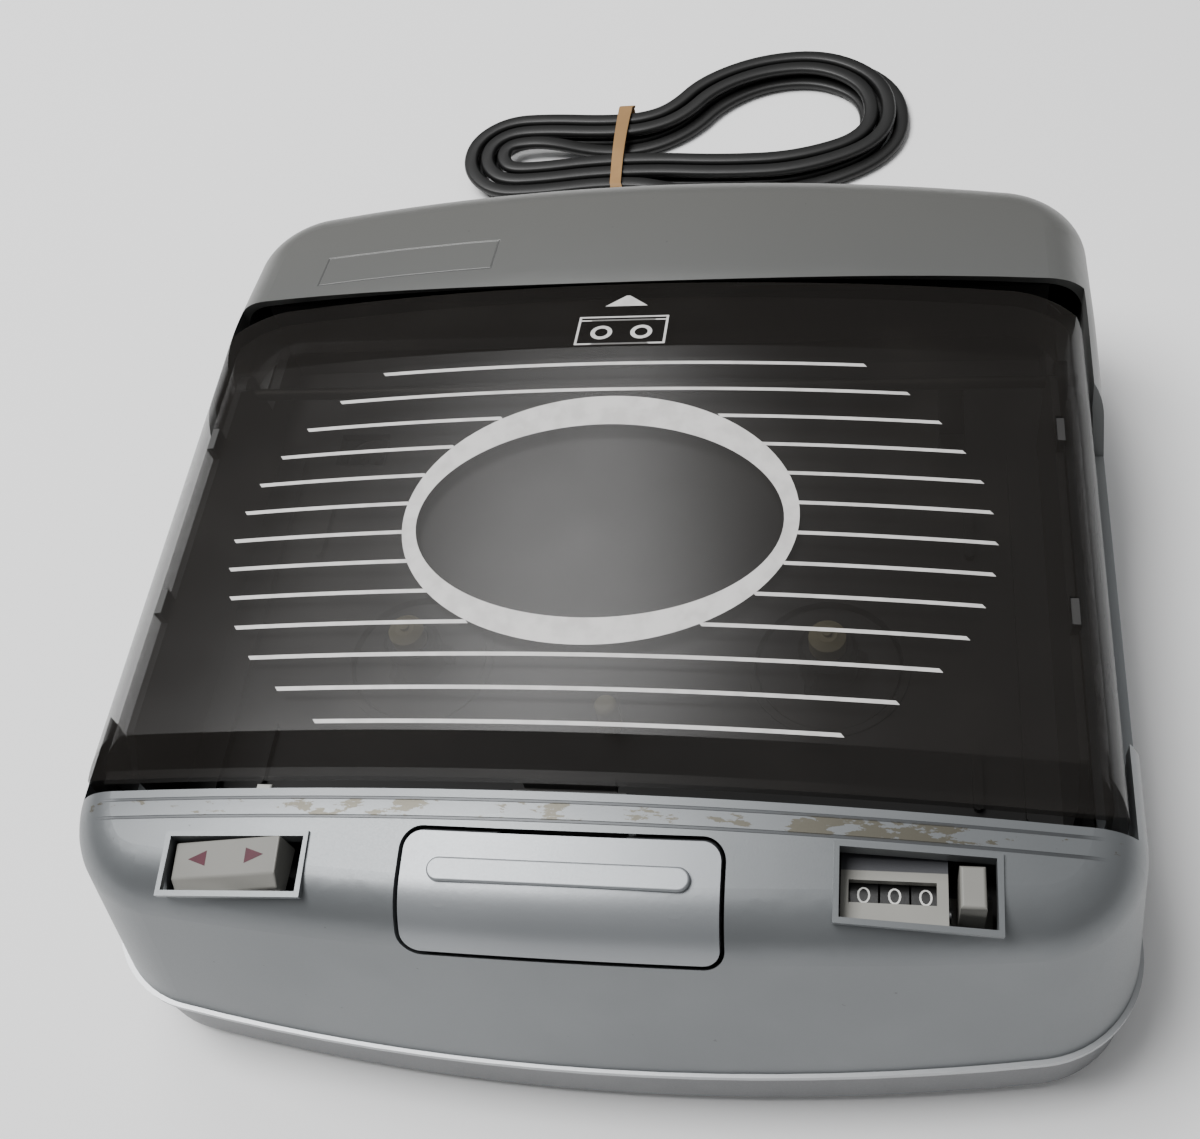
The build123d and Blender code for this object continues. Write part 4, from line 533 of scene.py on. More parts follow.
@dataclass(frozen=True)
class TurnedMetal:
    """Drawn, turned or plated metal: fine lines round the bar and small changes of colour."""

    name: str
    colour: str
    other: str
    line_mm: float = 0.4
    roughness: float = 0.3

    def build(self) -> bpy.types.Material:
        """Makes the material.

        Returns:
            The finish, with its lines and stains.
        """
        material, tree, where = new_material(self.name)
        lines = add_node(tree, Step.NOISE, where, 1 / (self.line_mm * MM), 3.0)
        stain = add_node(tree, Step.NOISE, where, 1 / (6.0 * MM), 4.0)
        stained = add_node(tree, Step.SMOOTH, stain, 0.3, 0.7)
        colour = add_node(tree, Step.BLEND, stained, self.colour, self.other)
        roughness = add_node(tree, Step.TIMES_PLUS, lines, 0.2, self.roughness - 0.1)
        finish_surface(tree, colour, roughness, metallic=1.0)
        return material


@dataclass(frozen=True)
class Finishes:
    """Every finish of the rewinder, made once."""

    case: bpy.types.Material = field(default_factory=SilverPaint().build)
    button: bpy.types.Material = field(
        default_factory=SilverPaint(
            name="silver_lacquer_button", colour="#94979a", dark="#8c8f92", rear="#94979a", lip_wear_and_painted_light=False
        ).build
    )
    # the bottom half is bare moulded ABS, its grey darkened as painted shade for the shadow under the
    # case's rim
    base: bpy.types.Material = field(
        default_factory=MouldedPlastic("grey_abs_base_painted_shade", "#6d6e70", "#656668", roughness=0.45).build
    )
    lid: bpy.types.Material = field(default_factory=SmokedStyrene().build)
    black: bpy.types.Material = field(
        default_factory=MouldedPlastic(
            "black_abs", "#1c1b1a", "#232221", texture_mm=0.35, depth_mm=0.005
        ).build
    )
    ivory: bpy.types.Material = field(
        default_factory=MouldedPlastic("ivory_acetal", "#c9bf9a", "#b3a67c", roughness=0.4).build
    )
    white: bpy.types.Material = field(
        default_factory=MouldedPlastic("white_acetal", "#d8d6cd", "#cbc8bd", roughness=0.4).build
    )
    warm_grey: bpy.types.Material = field(
        default_factory=MouldedPlastic(
            "warm_grey_abs", "#7f7e79", "#777671", texture_mm=0.35, depth_mm=0.01
        ).build
    )
    counter: bpy.types.Material = field(
        default_factory=MouldedPlastic("counter_frame_abs", "#86857f", "#7e7d77", shade="#35363a").build
    )
    grey: bpy.types.Material = field(
        default_factory=MouldedPlastic("grey_abs_inner", "#5c5c5b", "#525251").build
    )
    stop: bpy.types.Material = field(
        default_factory=MouldedPlastic("grey_stop_rubber", "#a9aaa5", "#9b9b95", roughness=0.6).build
    )
    rubber: bpy.types.Material = field(
        default_factory=MouldedPlastic(
            "moulded_black_rubber", "#191817", "#211f1e", depth_mm=0.03, roughness=0.75
        ).build
    )
    sheath: bpy.types.Material = field(
        default_factory=MouldedPlastic(
            "black_pvc_sheath", "#0b0b0b", "#121211", texture_mm=0.3, depth_mm=0.008, roughness=0.48
        ).build
    )
    band: bpy.types.Material = field(
        default_factory=MouldedPlastic(
            "tan_rubber_band", "#a27d4e", "#8d6b40", texture_mm=0.4, depth_mm=0.03, roughness=0.65
        ).build
    )
    board: bpy.types.Material = field(
        default_factory=MouldedPlastic("phenolic_board", "#8a5f31", "#7b5228", roughness=0.5).build
    )
    wheel: bpy.types.Material = field(
        default_factory=MouldedPlastic("black_counter_wheel", "#121212", "#191919", roughness=0.35).build
    )
    steel: bpy.types.Material = field(
        default_factory=TurnedMetal("bright_steel", "#b4b5b6", "#9fa0a2").build
    )
    zinc: bpy.types.Material = field(
        default_factory=TurnedMetal("zinc_plated_sheet", "#b0b2b0", "#9ea19f", roughness=0.42).build
    )
    passivated: bpy.types.Material = field(
        default_factory=TurnedMetal("black_oxide_rod", "#3b3936", "#2e2c2a", roughness=0.45).build
    )
    brass: bpy.types.Material = field(
        default_factory=TurnedMetal("turned_brass", "#c2a15a", "#b08f4c").build
    )
    iron: bpy.types.Material = field(
        default_factory=TurnedMetal("varnished_laminations", "#4b4742", "#3a3733", roughness=0.5).build
    )
    silver_ink: bpy.types.Material = field(
        default_factory=PrintedInk("silver_screen_ink", "#cfcdcb", "#bfbdbb", roughness=0.4).build
    )
    maroon_ink: bpy.types.Material = field(
        default_factory=PrintedInk("maroon_pad_ink", "#4b1024", "#3e0c1d").build
    )
    white_ink: bpy.types.Material = field(
        default_factory=PrintedInk("white_pad_ink", "#d2d2ce", "#c2c2be").build
    )


# ---------------------------------------------------------------- printing on the lid
@dataclass
class LidPrint:
    """Silver print on the lid: parallel lines, an oval frame left blank, an arrow and a cassette sign."""

    finishes: Finishes
    rear_crease: float = 35.4 * MM
    rear_edge: float = 59.0 * MM
    rear_edge_height: float = 73.6 * MM
    lift: float = 0.04 * MM
    line_width: float = 0.9 * MM
    line_pitch: float = 7.51 * MM
    first_line: float = 30.3 * MM
    line_slant: float = 0.8  # of the line's width, at its ends
    half_lengths: tuple[float, ...] = (  # of the lines in mm, from the rear one forward
        54.6, 63.8, 70.3, 75.0, 78.4, 80.0, 80.7, 79.9, 77.7, 74.5, 69.3, 61.3, 51.3,
    )
    oval_centre: float = -10.9 * MM
    oval_half: tuple[float, float] = (41.9 * MM, 31.7 * MM)
    hollow_centre: float = -11.75 * MM
    hollow_half: tuple[float, float] = (38.8 * MM, 24.6 * MM)
    arrow_y: tuple[float, float] = (50.4 * MM, 54.4 * MM)
    arrow_half: tuple[float, float] = (5.0 * MM, 0.4 * MM)  # half width at its foot and at its tip
    sign_y: tuple[float, float] = (36.2 * MM, 46.6 * MM)
    sign_half: float = 10.4 * MM
    sign_edge: float = 0.55 * MM
    rule_drop: float = 1.7 * MM
    rule_width: float = 0.45 * MM
    hub_x: float = 4.6 * MM
    hub_radii: tuple[float, float] = (2.5 * MM, 1.5 * MM)

    def height(self, x: float, y: float) -> float:
        """Height of the lid's outer surface, with the ink's thickness.

        Args:
            x: place across the lid.
            y: place from front to rear.

        Returns:
            The height.
        """
        rise = CROWN_TOP
        if y > self.rear_crease:
            fall, run = CROWN_TOP - self.rear_edge_height, self.rear_edge - self.rear_crease
            rise -= (y - self.rear_crease) * fall / run
        return rise - crown_drop(x) + self.lift

    def outline(
        self,
        name: str,
        ring: list[tuple[float, float]],
        inner: list[tuple[float, float]] | None = None,
    ) -> bpy.types.Object:
        """A printed area, carried by the curve of the lid.

        Args:
            name: the piece's name.
            ring: the area's outline in plan.
            inner: an outline with as many points, that the area stops at.

        Returns:
            The piece, riding on the lid.
        """
        count = len(ring)
        if inner is None:
            points = [(x, y, self.height(x, y)) for x, y in ring]
            faces = [tuple(range(count))]
        else:
            points = [(x, y, self.height(x, y)) for pair in zip(ring, inner) for x, y in pair]
            following = [(i + 1) % count for i in range(count)]
            faces = [(2 * i, 2 * k, 2 * k + 1, 2 * i + 1) for i, k in enumerate(following)]
        piece = mesh_piece(name, points, faces, self.finishes.silver_ink)
        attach(piece, "lid")
        return piece

    def strip(self, name: str, spans: list[tuple[float, float]], y: float) -> bpy.types.Object:
        """Straight printed line in one or more lengths, with slanted ends.

        Args:
            name: the piece's name.
            spans: the lengths, from x to x.
            y: the line's place.

        Returns:
            The piece, riding on the lid.
        """
        points: list[tuple[float, float, float]] = []
        faces: list[tuple[int, ...]] = []
        half = self.line_width / 2
        for start, end in spans:
            steps = max(2, int(abs(end - start) / (4 * MM)))
            first = len(points)
            for i in range(steps + 1):
                x = start + (end - start) * i / steps
                for side in (-1, 1):
                    slant = -side * half * self.line_slant
                    points.append((x + slant, y + side * half, self.height(x, y + side * half)))
            for i in range(steps):
                a = first + 2 * i
                faces.append((a, a + 2, a + 3, a + 1))
        piece = mesh_piece(name, points, faces, self.finishes.silver_ink)
        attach(piece, "lid")
        return piece

    def build(self) -> None:
        """Prints the lid."""
        for k, half_length in enumerate(self.half_lengths):
            y = self.first_line - k * self.line_pitch
            reach = half_length * MM
            across = 1 - ((y - self.oval_centre) / (self.oval_half[1] + 0.4 * MM)) ** 2
            if across > 0:
                stop = self.oval_half[0] * sqrt(across) - 0.3 * MM
                spans = [(-reach, -stop), (stop, reach)]
            else:
                spans = [(-reach, reach)]
            self.strip(f"lid_line_{k + 1:02d}", spans, y)
        turns = [2 * pi * i / 96 for i in range(96)]
        rings = []
        for middle, (across, along) in (
            (self.oval_centre, self.oval_half),
            (self.hollow_centre, self.hollow_half),
        ):
            rings.append([(across * cos(t), middle + along * sin(t)) for t in turns])
        self.outline("lid_oval", *rings)
        base, tip = self.arrow_y
        foot, point = self.arrow_half
        self.outline("lid_arrow", [(-foot, base), (foot, base), (point, tip), (-point, tip)])
        self.cassette_sign()
        log.info("printed the lid")

    def cassette_sign(self) -> None:
        """Plain cassette sign in a thin frame: two hubs in a window, as a generic mark."""
        (low, high), half, edge = self.sign_y, self.sign_half, self.sign_edge
        rims = []
        for inset in (0.0, edge):
            side, bottom, top = half - inset, low + inset, high - inset
            rims.append([(-side, bottom), (side, bottom), (side, top), (-side, top)])
        self.outline("sign_frame", *rims)
        rule = high - self.rule_drop
        top = rule + self.rule_width
        self.outline("sign_rule", [(-half, rule), (half, rule), (half, top), (-half, top)])
        turns = [2 * pi * i / 32 for i in range(32)]
        for name, x in (("left", -self.hub_x), ("right", self.hub_x)):
            y = (low + rule) / 2
            rings = [[(x + r * cos(t), y + r * sin(t)) for t in turns] for r in self.hub_radii]
            self.outline(f"sign_hub_{name}", *rings)


# ---------------------------------------------------------------- front controls
@dataclass
class DirectionRocker:
    """Direction rocker with its bevelled front edge, and a maroon arrow for each way of winding."""

    finishes: Finishes
    pivot: tuple[float, float, float] = (-63.7046 * MM, -86.7 * MM, 57.6126 * MM)
    tilt: float = radians(9.0 + 5.7126)
    top: float = 10.5 * MM
    skirt: float = 4.5 * MM  # height of the key's lower edge above the pivot
    length: float = 24.6 * MM
    width: float = 9.4 * MM
    bevel: tuple[float, float] = (2.2 * MM, 1.9 * MM)  # depth and fall of the front bevel
    hub: tuple[float, float, float] = (8.0 * MM, 4.8 * MM, 3.0 * MM)  # top and bottom length, width
    hub_bottom: float = -2.4 * MM
    draft: float = 0.6 * MM
    edge: float = 0.35 * MM
    lift: float = 0.05 * MM
    arrow: tuple[float, float] = (4.3 * MM, 3.0 * MM)
    arrow_back: float = 1.2 * MM  # of the arrows to the rear of the key's middle

    def place(self, u: float, y: float, h: float) -> Vector:
        """A point of the rocker in the frame of the CAD.

        Args:
            u: along the rocker, from its middle.
            y: to the rear of the rocker's middle.
            h: above the pivot.

        Returns:
            The point.
        """
        across = Vector((cos(self.tilt), 0, sin(self.tilt)))
        up = Vector((-sin(self.tilt), 0, cos(self.tilt)))
        return Vector(self.pivot) + across * u + up * h + Vector((0, y, 0))

    def rise(self, y: float) -> float:
        """Height of the top face above the pivot, some way to the rear of its middle."""
        return self.top + y * tan(PANEL_SLOPE) * cos(self.tilt)

    def key(self) -> bpy.types.Object:
        """The key itself, which stands for the CAD's plain block.

        Returns:
            The piece.
        """
        half = self.width / 2
        depth, fall = self.bevel
        section = [
            (half, self.skirt),
            (half, self.rise(half)),
            (-half + depth, self.rise(-half + depth)),
            (-half, self.rise(-half) - fall),
            (-half, self.skirt),
        ]
        points = []
        for side in (-1, 1):
            for y, h in section:
                inset = self.draft * (self.top - h) / (self.top - self.skirt)
                points.append(self.place(side * (self.length / 2 - max(inset, 0.0)), y, h))
        faces = ring_faces(2, len(section))
        first = len(points)
        top_half, low_half, hub_half = (size / 2 for size in self.hub)
        for y in (-hub_half, hub_half):
            for u, h in (
                (-top_half, self.skirt),
                (-low_half, self.hub_bottom),
                (low_half, self.hub_bottom),
                (top_half, self.skirt),
            ):
                points.append(self.place(u, y, h))
        faces += [tuple(first + k for k in face) for face in ring_faces(2, 4)]
        piece = mesh_piece("rocker_key", points, faces, self.finishes.warm_grey)
        rounding = piece.modifiers.new("rounded_edges", "BEVEL")
        rounding.width = self.edge
        rounding.segments = 3
        rounding.limit_method = "ANGLE"
        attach(piece, "rocker")
        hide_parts("direction_rocker")
        return piece

    def build(self) -> None:
        """Makes the key and prints both arrows."""
        key = self.key()
        length, width = self.arrow
        back = self.arrow_back
        for side, middle in ((Side.LEFT, -6.6 * MM), (Side.RIGHT, 7.0 * MM)):
            s = side.value
            flat = [(-s * length / 2, -width / 2), (s * length / 2, 0.0), (-s * length / 2, width / 2)]
            points = [self.place(middle + u, v + back, self.rise(v + back) + self.lift) for u, v in flat]
            order = (0, 1, 2) if s > 0 else (2, 1, 0)
            name = f"rocker_arrow_{side.name.lower()}"
            piece = mesh_piece(name, points, [order], self.finishes.maroon_ink)
            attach(piece, "rocker")
        log.info("made %s with its arrows", key.name)


@dataclass
class CounterDigits:
    """White figures 0 to 9 round each of the three counter wheels, drawn as thin strokes."""

    finishes: Finishes
    radius: float = 7.04 * MM
    axis: tuple[float, float] = (-85.8 * MM, 56.0 * MM)  # y, z
    columns: tuple[tuple[str, float], ...] = (
        ("counter_hundreds", 55.3 * MM),
        ("counter_tens", 60.8 * MM),
        ("counter_units", 66.3 * MM),
    )
    width: float = 2.0 * MM
    height: float = 2.9 * MM
    stroke: float = 0.34 * MM
    first_angle: float = radians(4.5)

    def strokes(self, digit: int) -> list[list[tuple[float, float]]]:
        """Lines that draw a figure in a box from -1 to 1 each way.

        Args:
            digit: the figure.

        Returns:
            Its lines as points.
        """
        steps = 14

        def arc(
            cx: float, cy: float, rx: float, ry: float, start: float, end: float
        ) -> list[tuple[float, float]]:
            """Points on an oval arc, its angles in degrees."""
            turns = [radians(start + (end - start) * i / steps) for i in range(steps + 1)]
            return [(cx + rx * cos(t), cy + ry * sin(t)) for t in turns]

        shapes = {
            0: [arc(0, 0, 1, 1, 0, 360)],
            1: [[(-0.5, 0.6), (0.1, 1), (0.1, -1)]],
            2: [arc(0, 0.45, 0.9, 0.55, 160, -35) + [(-0.9, -1), (0.9, -1)]],
            3: [arc(0, 0.5, 0.8, 0.5, 150, -90), arc(0, -0.5, 0.9, 0.5, 90, -150)],
            4: [[(0.4, -1), (0.4, 1), (-0.9, -0.4), (0.9, -0.4)]],
            5: [[(0.8, 1), (-0.6, 1), (-0.7, 0.1)] + arc(0, -0.4, 0.9, 0.6, 120, -150)],
            6: [arc(0, -0.4, 0.85, 0.6, 0, 360), arc(0.6, -0.4, 1.45, 1.4, 180, 105)],
            7: [[(-0.9, 1), (0.9, 1), (-0.2, -1)]],
            8: [arc(0, 0.48, 0.75, 0.5, 0, 360), arc(0, -0.5, 0.9, 0.5, 0, 360)],
            9: [arc(0, 0.4, 0.85, 0.6, 0, 360), arc(-0.6, 0.4, 1.45, 1.4, 0, -75)],
        }
        return shapes[digit]

    def build(self) -> None:
        """Prints the wheels."""
        for body, column in self.columns:
            points: list[tuple[float, float, float]] = []
            faces: list[tuple[int, ...]] = []
            for digit in range(10):
                facing = self.first_angle + digit * 2 * pi / 10
                for line in self.strokes(digit):
                    flat = [(u * self.width / 2, v * self.height / 2) for u, v in line]
                    first = len(points)
                    for i, (u, v) in enumerate(flat):
                        before = flat[max(0, i - 1)]
                        after = flat[min(len(flat) - 1, i + 1)]
                        way = Vector((after[0] - before[0], after[1] - before[1])).normalized()
                        for s in (-0.5, 0.5):
                            du, dv = -way.y * s * self.stroke, way.x * s * self.stroke
                            turn = facing + (v + dv) / self.radius
                            points.append((
                                column + u + du,
                                self.axis[0] + self.radius * sin(turn),
                                self.axis[1] + self.radius * cos(turn),
                            ))
                    for i in range(len(flat) - 1):
                        a = first + 2 * i
                        faces.append((a, a + 2, a + 3, a + 1))
            piece = mesh_piece(f"{body}_figures", points, faces, self.finishes.white_ink)
            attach(piece, body)
        log.info("printed the counter's figures")


# ---------------------------------------------------------------- mains cord
@dataclass
class MainsCord:
    """Flat twin-core mains cord: out of the rear, into a hank held by a rubber band, to its plug."""

    finishes: Finishes
    diameter: float = 4.6 * MM  # across both cores
    core: float = 1.5 * MM
    low: float = 3.0 * MM
    high: float = 8.1 * MM
    sink_low: float = 1.2 * MM  # the flat cord lies lower than a round one
    sink_high: float = 2.6 * MM
    waist: tuple[float, float] = (-25.0 * MM, 187.5 * MM)
    waist_half: float = 2.8 * MM  # from the waist's middle to the innermost turn
    hank_front: float = 160 * MM
    outlet: tuple[float, float, float] = (-62.0 * MM, 131.647 * MM, 10.9 * MM)  # the sleeve's end
    sleeve_length: float = 24.0 * MM
    plug_front: tuple[float, float] = (44.0 * MM, 141.0 * MM)
    pitch: float = 5.5 * MM
    loops: int = 5

    def ring_at(self, turn: float, step: float, first: float) -> float:
        """Which ring, counted outward, the cord lies on after some turns.

        Args:
            turn: turns of the hank so far.
            step: the part of a turn between stations.
            first: the ring at the start.

        Returns:
            The ring's number.
        """
        since = turn - first
        if since <= 0:
            return -since
        whole = int(since + 1e-9)
        part = since - whole
        out, back = 1 + step, 1 - step
        return whole + (part * out / back if part <= back else out + back - part)

    def stations(self) -> list[tuple[Vector, Vector]]:
        """Points and directions of the hank's turns.

        Returns:
            Each station's point and direction, first to last.
        """
        wx, wy = self.waist
        half, near_x, far_x, tip_x = self.waist_half, 20.0 * MM, 30.0 * MM, 51.0 * MM
        right_y, right_half, left_x, left_half = 201.0 * MM, 18.0 * MM, -58.0 * MM, 5.4 * MM
        rise, run = right_y + right_half - wy - half, far_x - wx
        slant = 2 * atan2(rise, run)
        ring = [
            ((wx, wy - half), (1, 0)),
            ((near_x, right_y - right_half), (1, 0)),
            ((tip_x, right_y), (0, 1)),
            ((far_x, right_y + right_half), (-1, 0)),
            ((wx + run / 2, wy + half + rise / 2), (-cos(slant), -sin(slant))),
            ((wx, wy + half), (-1, 0)),
            ((left_x, wy + left_half), (-1, 0)),
            ((left_x - left_half, wy), (0, -1)),
            ((left_x, wy - left_half), (1, 0)),
        ]
        step = 1 / len(ring)
        climb = 2 + 5 * step
        found = []
        for index in range(self.loops * len(ring) + 1):
            turn = index * step
            grow = self.pitch * self.ring_at(turn, step, climb + step)
            (x, y), (way_x, way_y) = ring[index % len(ring)]
            height = self.low if turn <= climb + 1e-9 else self.high
            found.append((Vector((x + grow * way_y, y - grow * way_x, height)), Vector((way_x, way_y, 0))))
        return found

    def corners(self, start: Vector, start_way: Vector, end: Vector, end_way: Vector) -> list[Vector]:
        """The two corners between one station and the next.

        Args:
            start: the first point.
            start_way: its direction.
            end: the second point.
            end_way: its direction.

        Returns:
            Where the cord's runs out of the first and into the second meet.
        """
        span = end - start
        a = 2 * (1 - start_way.dot(end_way))
        b = 2 * span.dot(start_way + end_way)
        c = span.dot(span)
        reach = c / b if abs(a) < 1e-9 else (sqrt(b * b + 4 * a * c) - b) / (2 * a)
        return [start + start_way * reach, end - end_way * reach]

    def route(self) -> list[Vector]:
        """The cord's way from the strain relief to the plug.

        Returns:
            Its control points.
        """
        wx, wy = self.waist
        lead_way = Vector((0.94, 0.34, 0)).normalized()
        tail_way = Vector((0.94, -0.34, 0)).normalized()
        straight = self.diameter * 1.1
        hank_start = Vector((wx - 9 * MM, wy - 19 * MM, self.low))
        hank_end = Vector((wx + 16 * MM, wy - 19 * MM, self.high))
        lead_end = hank_start - lead_way * straight
        tail_start = hank_end + tail_way * straight
        plug_x, plug_y = self.plug_front
        tip = Vector(self.outlet)
        points = [tip, tip + Vector((0, 14.4 * MM, 0)), lead_end - lead_way * 10 * MM]
        stops = [(hank_start, lead_way), *self.stations(), (hank_end, tail_way)]
        for near, far in zip(stops, stops[1:]):
            points += self.corners(*near, *far)
        points += [
            tail_start + tail_way * 14 * MM,
            Vector((plug_x - 18.0 * MM, plug_y, self.high)),
            Vector((plug_x, plug_y, self.high)),
        ]
        return points

    def lie(self, point: Vector) -> Vector:
        """Brings a point of the hank down to where the flat cord lies.

        Args:
            point: a control point of the round cord.

        Returns:
            The point for the flat one.
        """
        if point.y < self.hank_front:
            return point
        share = (point.z - self.low) / (self.high - self.low)
        sink = self.sink_low + share * (self.sink_high - self.sink_low)
        return Vector((point.x, point.y, point.z - sink))

    def centreline(self) -> list[Vector]:
        """The smooth line along the route.

        Returns:
            Its points.
        """
        curve = bpy.data.curves.new("cord_line", "CURVE")
        curve.dimensions = "3D"
        curve.resolution_u = 8
        spline = curve.splines.new("NURBS")
        route = [self.lie(p) for p in self.route()]
        spline.points.add(len(route) - 1)
        for knot, place in zip(spline.points, route):
            knot.co = (*place, 1.0)
        spline.order_u = 3
        spline.use_endpoint_u = True
        holder = bpy.data.objects.new("cord_line", curve)
        bpy.context.scene.collection.objects.link(holder)
        line = bpy.data.meshes.new_from_object(holder)
        found = [v.co.copy() for v in line.vertices]
        bpy.data.objects.remove(holder)
        bpy.data.meshes.remove(line)
        bpy.data.curves.remove(curve)
        return found

    def section(self) -> list[tuple[float, float]]:
        """The flat sheath across: two round cores side by side, with a shallow waist.

        Returns:
            Its outline.
        """
        reach = self.diameter / 2 - self.core
        waist = 0.62 * self.core
        points = []
        for side in (1, -1):
            for i in range(7):
                turn = radians(-62 + 124 * i / 6)
                points.append((side * (reach + self.core * cos(turn)), side * self.core * sin(turn)))
            points.append((0.0, side * waist))
        return points

    def build(self) -> None:
        """Makes the cord, its band, its strain relief and its plug."""
        line = self.centreline()
        section = self.section()
        points = []
        for i, place in enumerate(line):
            way = (line[min(i + 1, len(line) - 1)] - line[max(i - 1, 0)]).normalized()
            across = Vector((way.y, -way.x, 0)).normalized()
            up = across.cross(way).normalized()
            if up.z < 0:
                up = -up
            points += [place + across * u + up * v for u, v in section]
        faces = ring_faces(len(line), len(section))
        cord = mesh_piece("mains_cord", points, faces, self.finishes.sheath, smooth=True)
        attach(cord, "housing")
        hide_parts("power_cord", "cord_hank", "power_cord_tail")
        plug = self.plug()
        band = self.band()
        relief = self.relief()

    def band(self) -> bpy.types.Object:
        """Rubber band round the hank's waist, a little uneven in width.

        Returns:
            The piece.
        """
        wx, wy = self.waist
        rings = 2 + 6 / 9  # from the innermost turn to the outermost, at the waist
        half = self.waist_half + self.pitch * rings + self.diameter / 2 + 0.3 * MM
        bottom, top = 0.35 * MM, self.high - self.sink_high + 2.0 * MM
        corner = 1.9 * MM
        path = []
        for cy, cz, start in (
            (wy + half - corner, top - corner, 0),
            (wy - half + corner, top - corner, 90),
            (wy - half + corner, bottom + corner, 180),
            (wy + half - corner, bottom + corner, 270),
        ):
            for i in range(7):
                turn = radians(start + 90 * i / 6)
                path.append((cy + corner * cos(turn), cz + corner * sin(turn), cos(turn), sin(turn)))
        dense = []
        for i, (y, z, ny, nz) in enumerate(path):
            y2, z2, ny2, nz2 = path[(i + 1) % len(path)]
            pieces = 6 if abs(y2 - y) > 5 * MM else 1
            for k in range(pieces):
                t = k / pieces
                y_at, z_at = y + (y2 - y) * t, z + (z2 - z) * t
                dense.append((y_at, z_at, ny + (ny2 - ny) * t, nz + (nz2 - nz) * t))
        points = []
        thick = 0.45 * MM
        for i, (y, z, ny, nz) in enumerate(dense):
            lean = 0.5 * MM * sin(i * 0.55)
            wide = 2.1 * MM + 0.35 * MM * sin(i * 0.31 + 1.0)
            for dx, out in ((-wide, -0.5), (wide, -0.5), (wide, 0.5), (-wide, 0.5)):
                points.append((wx + lean + dx, y + ny * out * thick, z + nz * out * thick))
        faces = ring_faces(len(dense), 4, closed=True, caps=False)
        piece = mesh_piece("band", points, faces, self.finishes.band)
        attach(piece, "housing")
        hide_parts("cord_band")
        return piece

    def plug(self) -> bpy.types.Object:
        """Plain two-blade plug with a ribbed grip.

        Returns:
            The plug's body; its blades ride with it.
        """
        (x0, y0), z0 = self.plug_front, self.high
        profile = [  # distance, half width, half height, in mm
            (0.0, 4.4, 3.9), (2.0, 4.9, 4.4), (3.0, 4.3, 3.9), (4.2, 5.6, 4.9), (5.4, 5.0, 4.5),
            (6.8, 6.9, 5.6), (8.2, 6.4, 5.3), (9.8, 8.6, 6.5), (12.0, 9.9, 7.3), (15.0, 10.4, 7.7),
            (22.0, 10.5, 7.8), (28.0, 10.4, 7.7), (29.4, 10.1, 7.4), (30.0, 9.4, 6.7),
        ]
        around = 28
        points = []
        for distance, half_width, half_height in profile:
            for j in range(around):
                t = 2 * pi * j / around
                c, s = cos(t), sin(t)
                power = 0.55  # between an oval and a rectangle
                points.append((
                    x0 + distance * MM,
                    y0 + half_width * MM * abs(c) ** power * (1 if c >= 0 else -1),
                    z0 + half_height * MM * abs(s) ** power * (1 if s >= 0 else -1),
                ))
        body_faces = ring_faces(len(profile), around)
        body = mesh_piece("plug_body", points, body_faces, self.finishes.sheath, smooth=True)
        blades: list[tuple[float, float, float]] = []
        faces: list[tuple[int, ...]] = []
        for side in (-1, 1):
            rings = [(29.0, 3.2, 0.75), (44.0, 3.2, 0.75), (46.2, 2.8, 0.7), (47.0, 2.2, 0.35)]
            first = len(blades)
            for distance, half_height, half_thick in rings:
                for dy, dz in ((-1, -1), (1, -1), (1, 1), (-1, 1)):
                    blades.append((
                        x0 + distance * MM,
                        y0 + (side * 6.35 + dy * half_thick) * MM,
                        z0 + dz * half_height * MM,
                    ))
            faces += [tuple(first + k for k in face) for face in ring_faces(len(rings), 4)]
        pins = mesh_piece("plug_blades", blades, faces, self.finishes.brass)
        pins.parent = body
        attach(body, "housing")
        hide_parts("power_plug")
        return body

    def relief(self) -> bpy.types.Object:
        """Tapered, ribbed strain relief in the rear wall.

        Returns:
            The piece.
        """
        x0, end, z0 = self.outlet
        wall = end - self.sleeve_length
        profile = [  # distance out of the wall, radius, in mm
            (-4.6, 2.2), (-4.6, 5.0), (-3.3, 5.0), (-3.3, 3.7), (0.3, 3.7), (0.3, 4.9), (2.2, 4.5),
        ]
        for k in range(7):
            at = 3.0 + 2.9 * k
            wide = 4.4 - 0.16 * k
            root = wide - 0.75
            profile += [(at, root), (at + 0.5, wide), (at + 1.9, wide - 0.05), (at + 2.3, root)]
        profile += [(24.0, 3.1), (24.0, 2.0)]
        around = 28
        turns = [2 * pi * j / around for j in range(around)]
        points = [
            (x0 + r * MM * cos(t), wall + at * MM, z0 + r * MM * sin(t)) for at, r in profile for t in turns
        ]
        piece = mesh_piece("relief_sleeve", points, ring_faces(len(profile), around), self.finishes.sheath)
        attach(piece, "housing")
        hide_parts("strain_relief")
        return piece


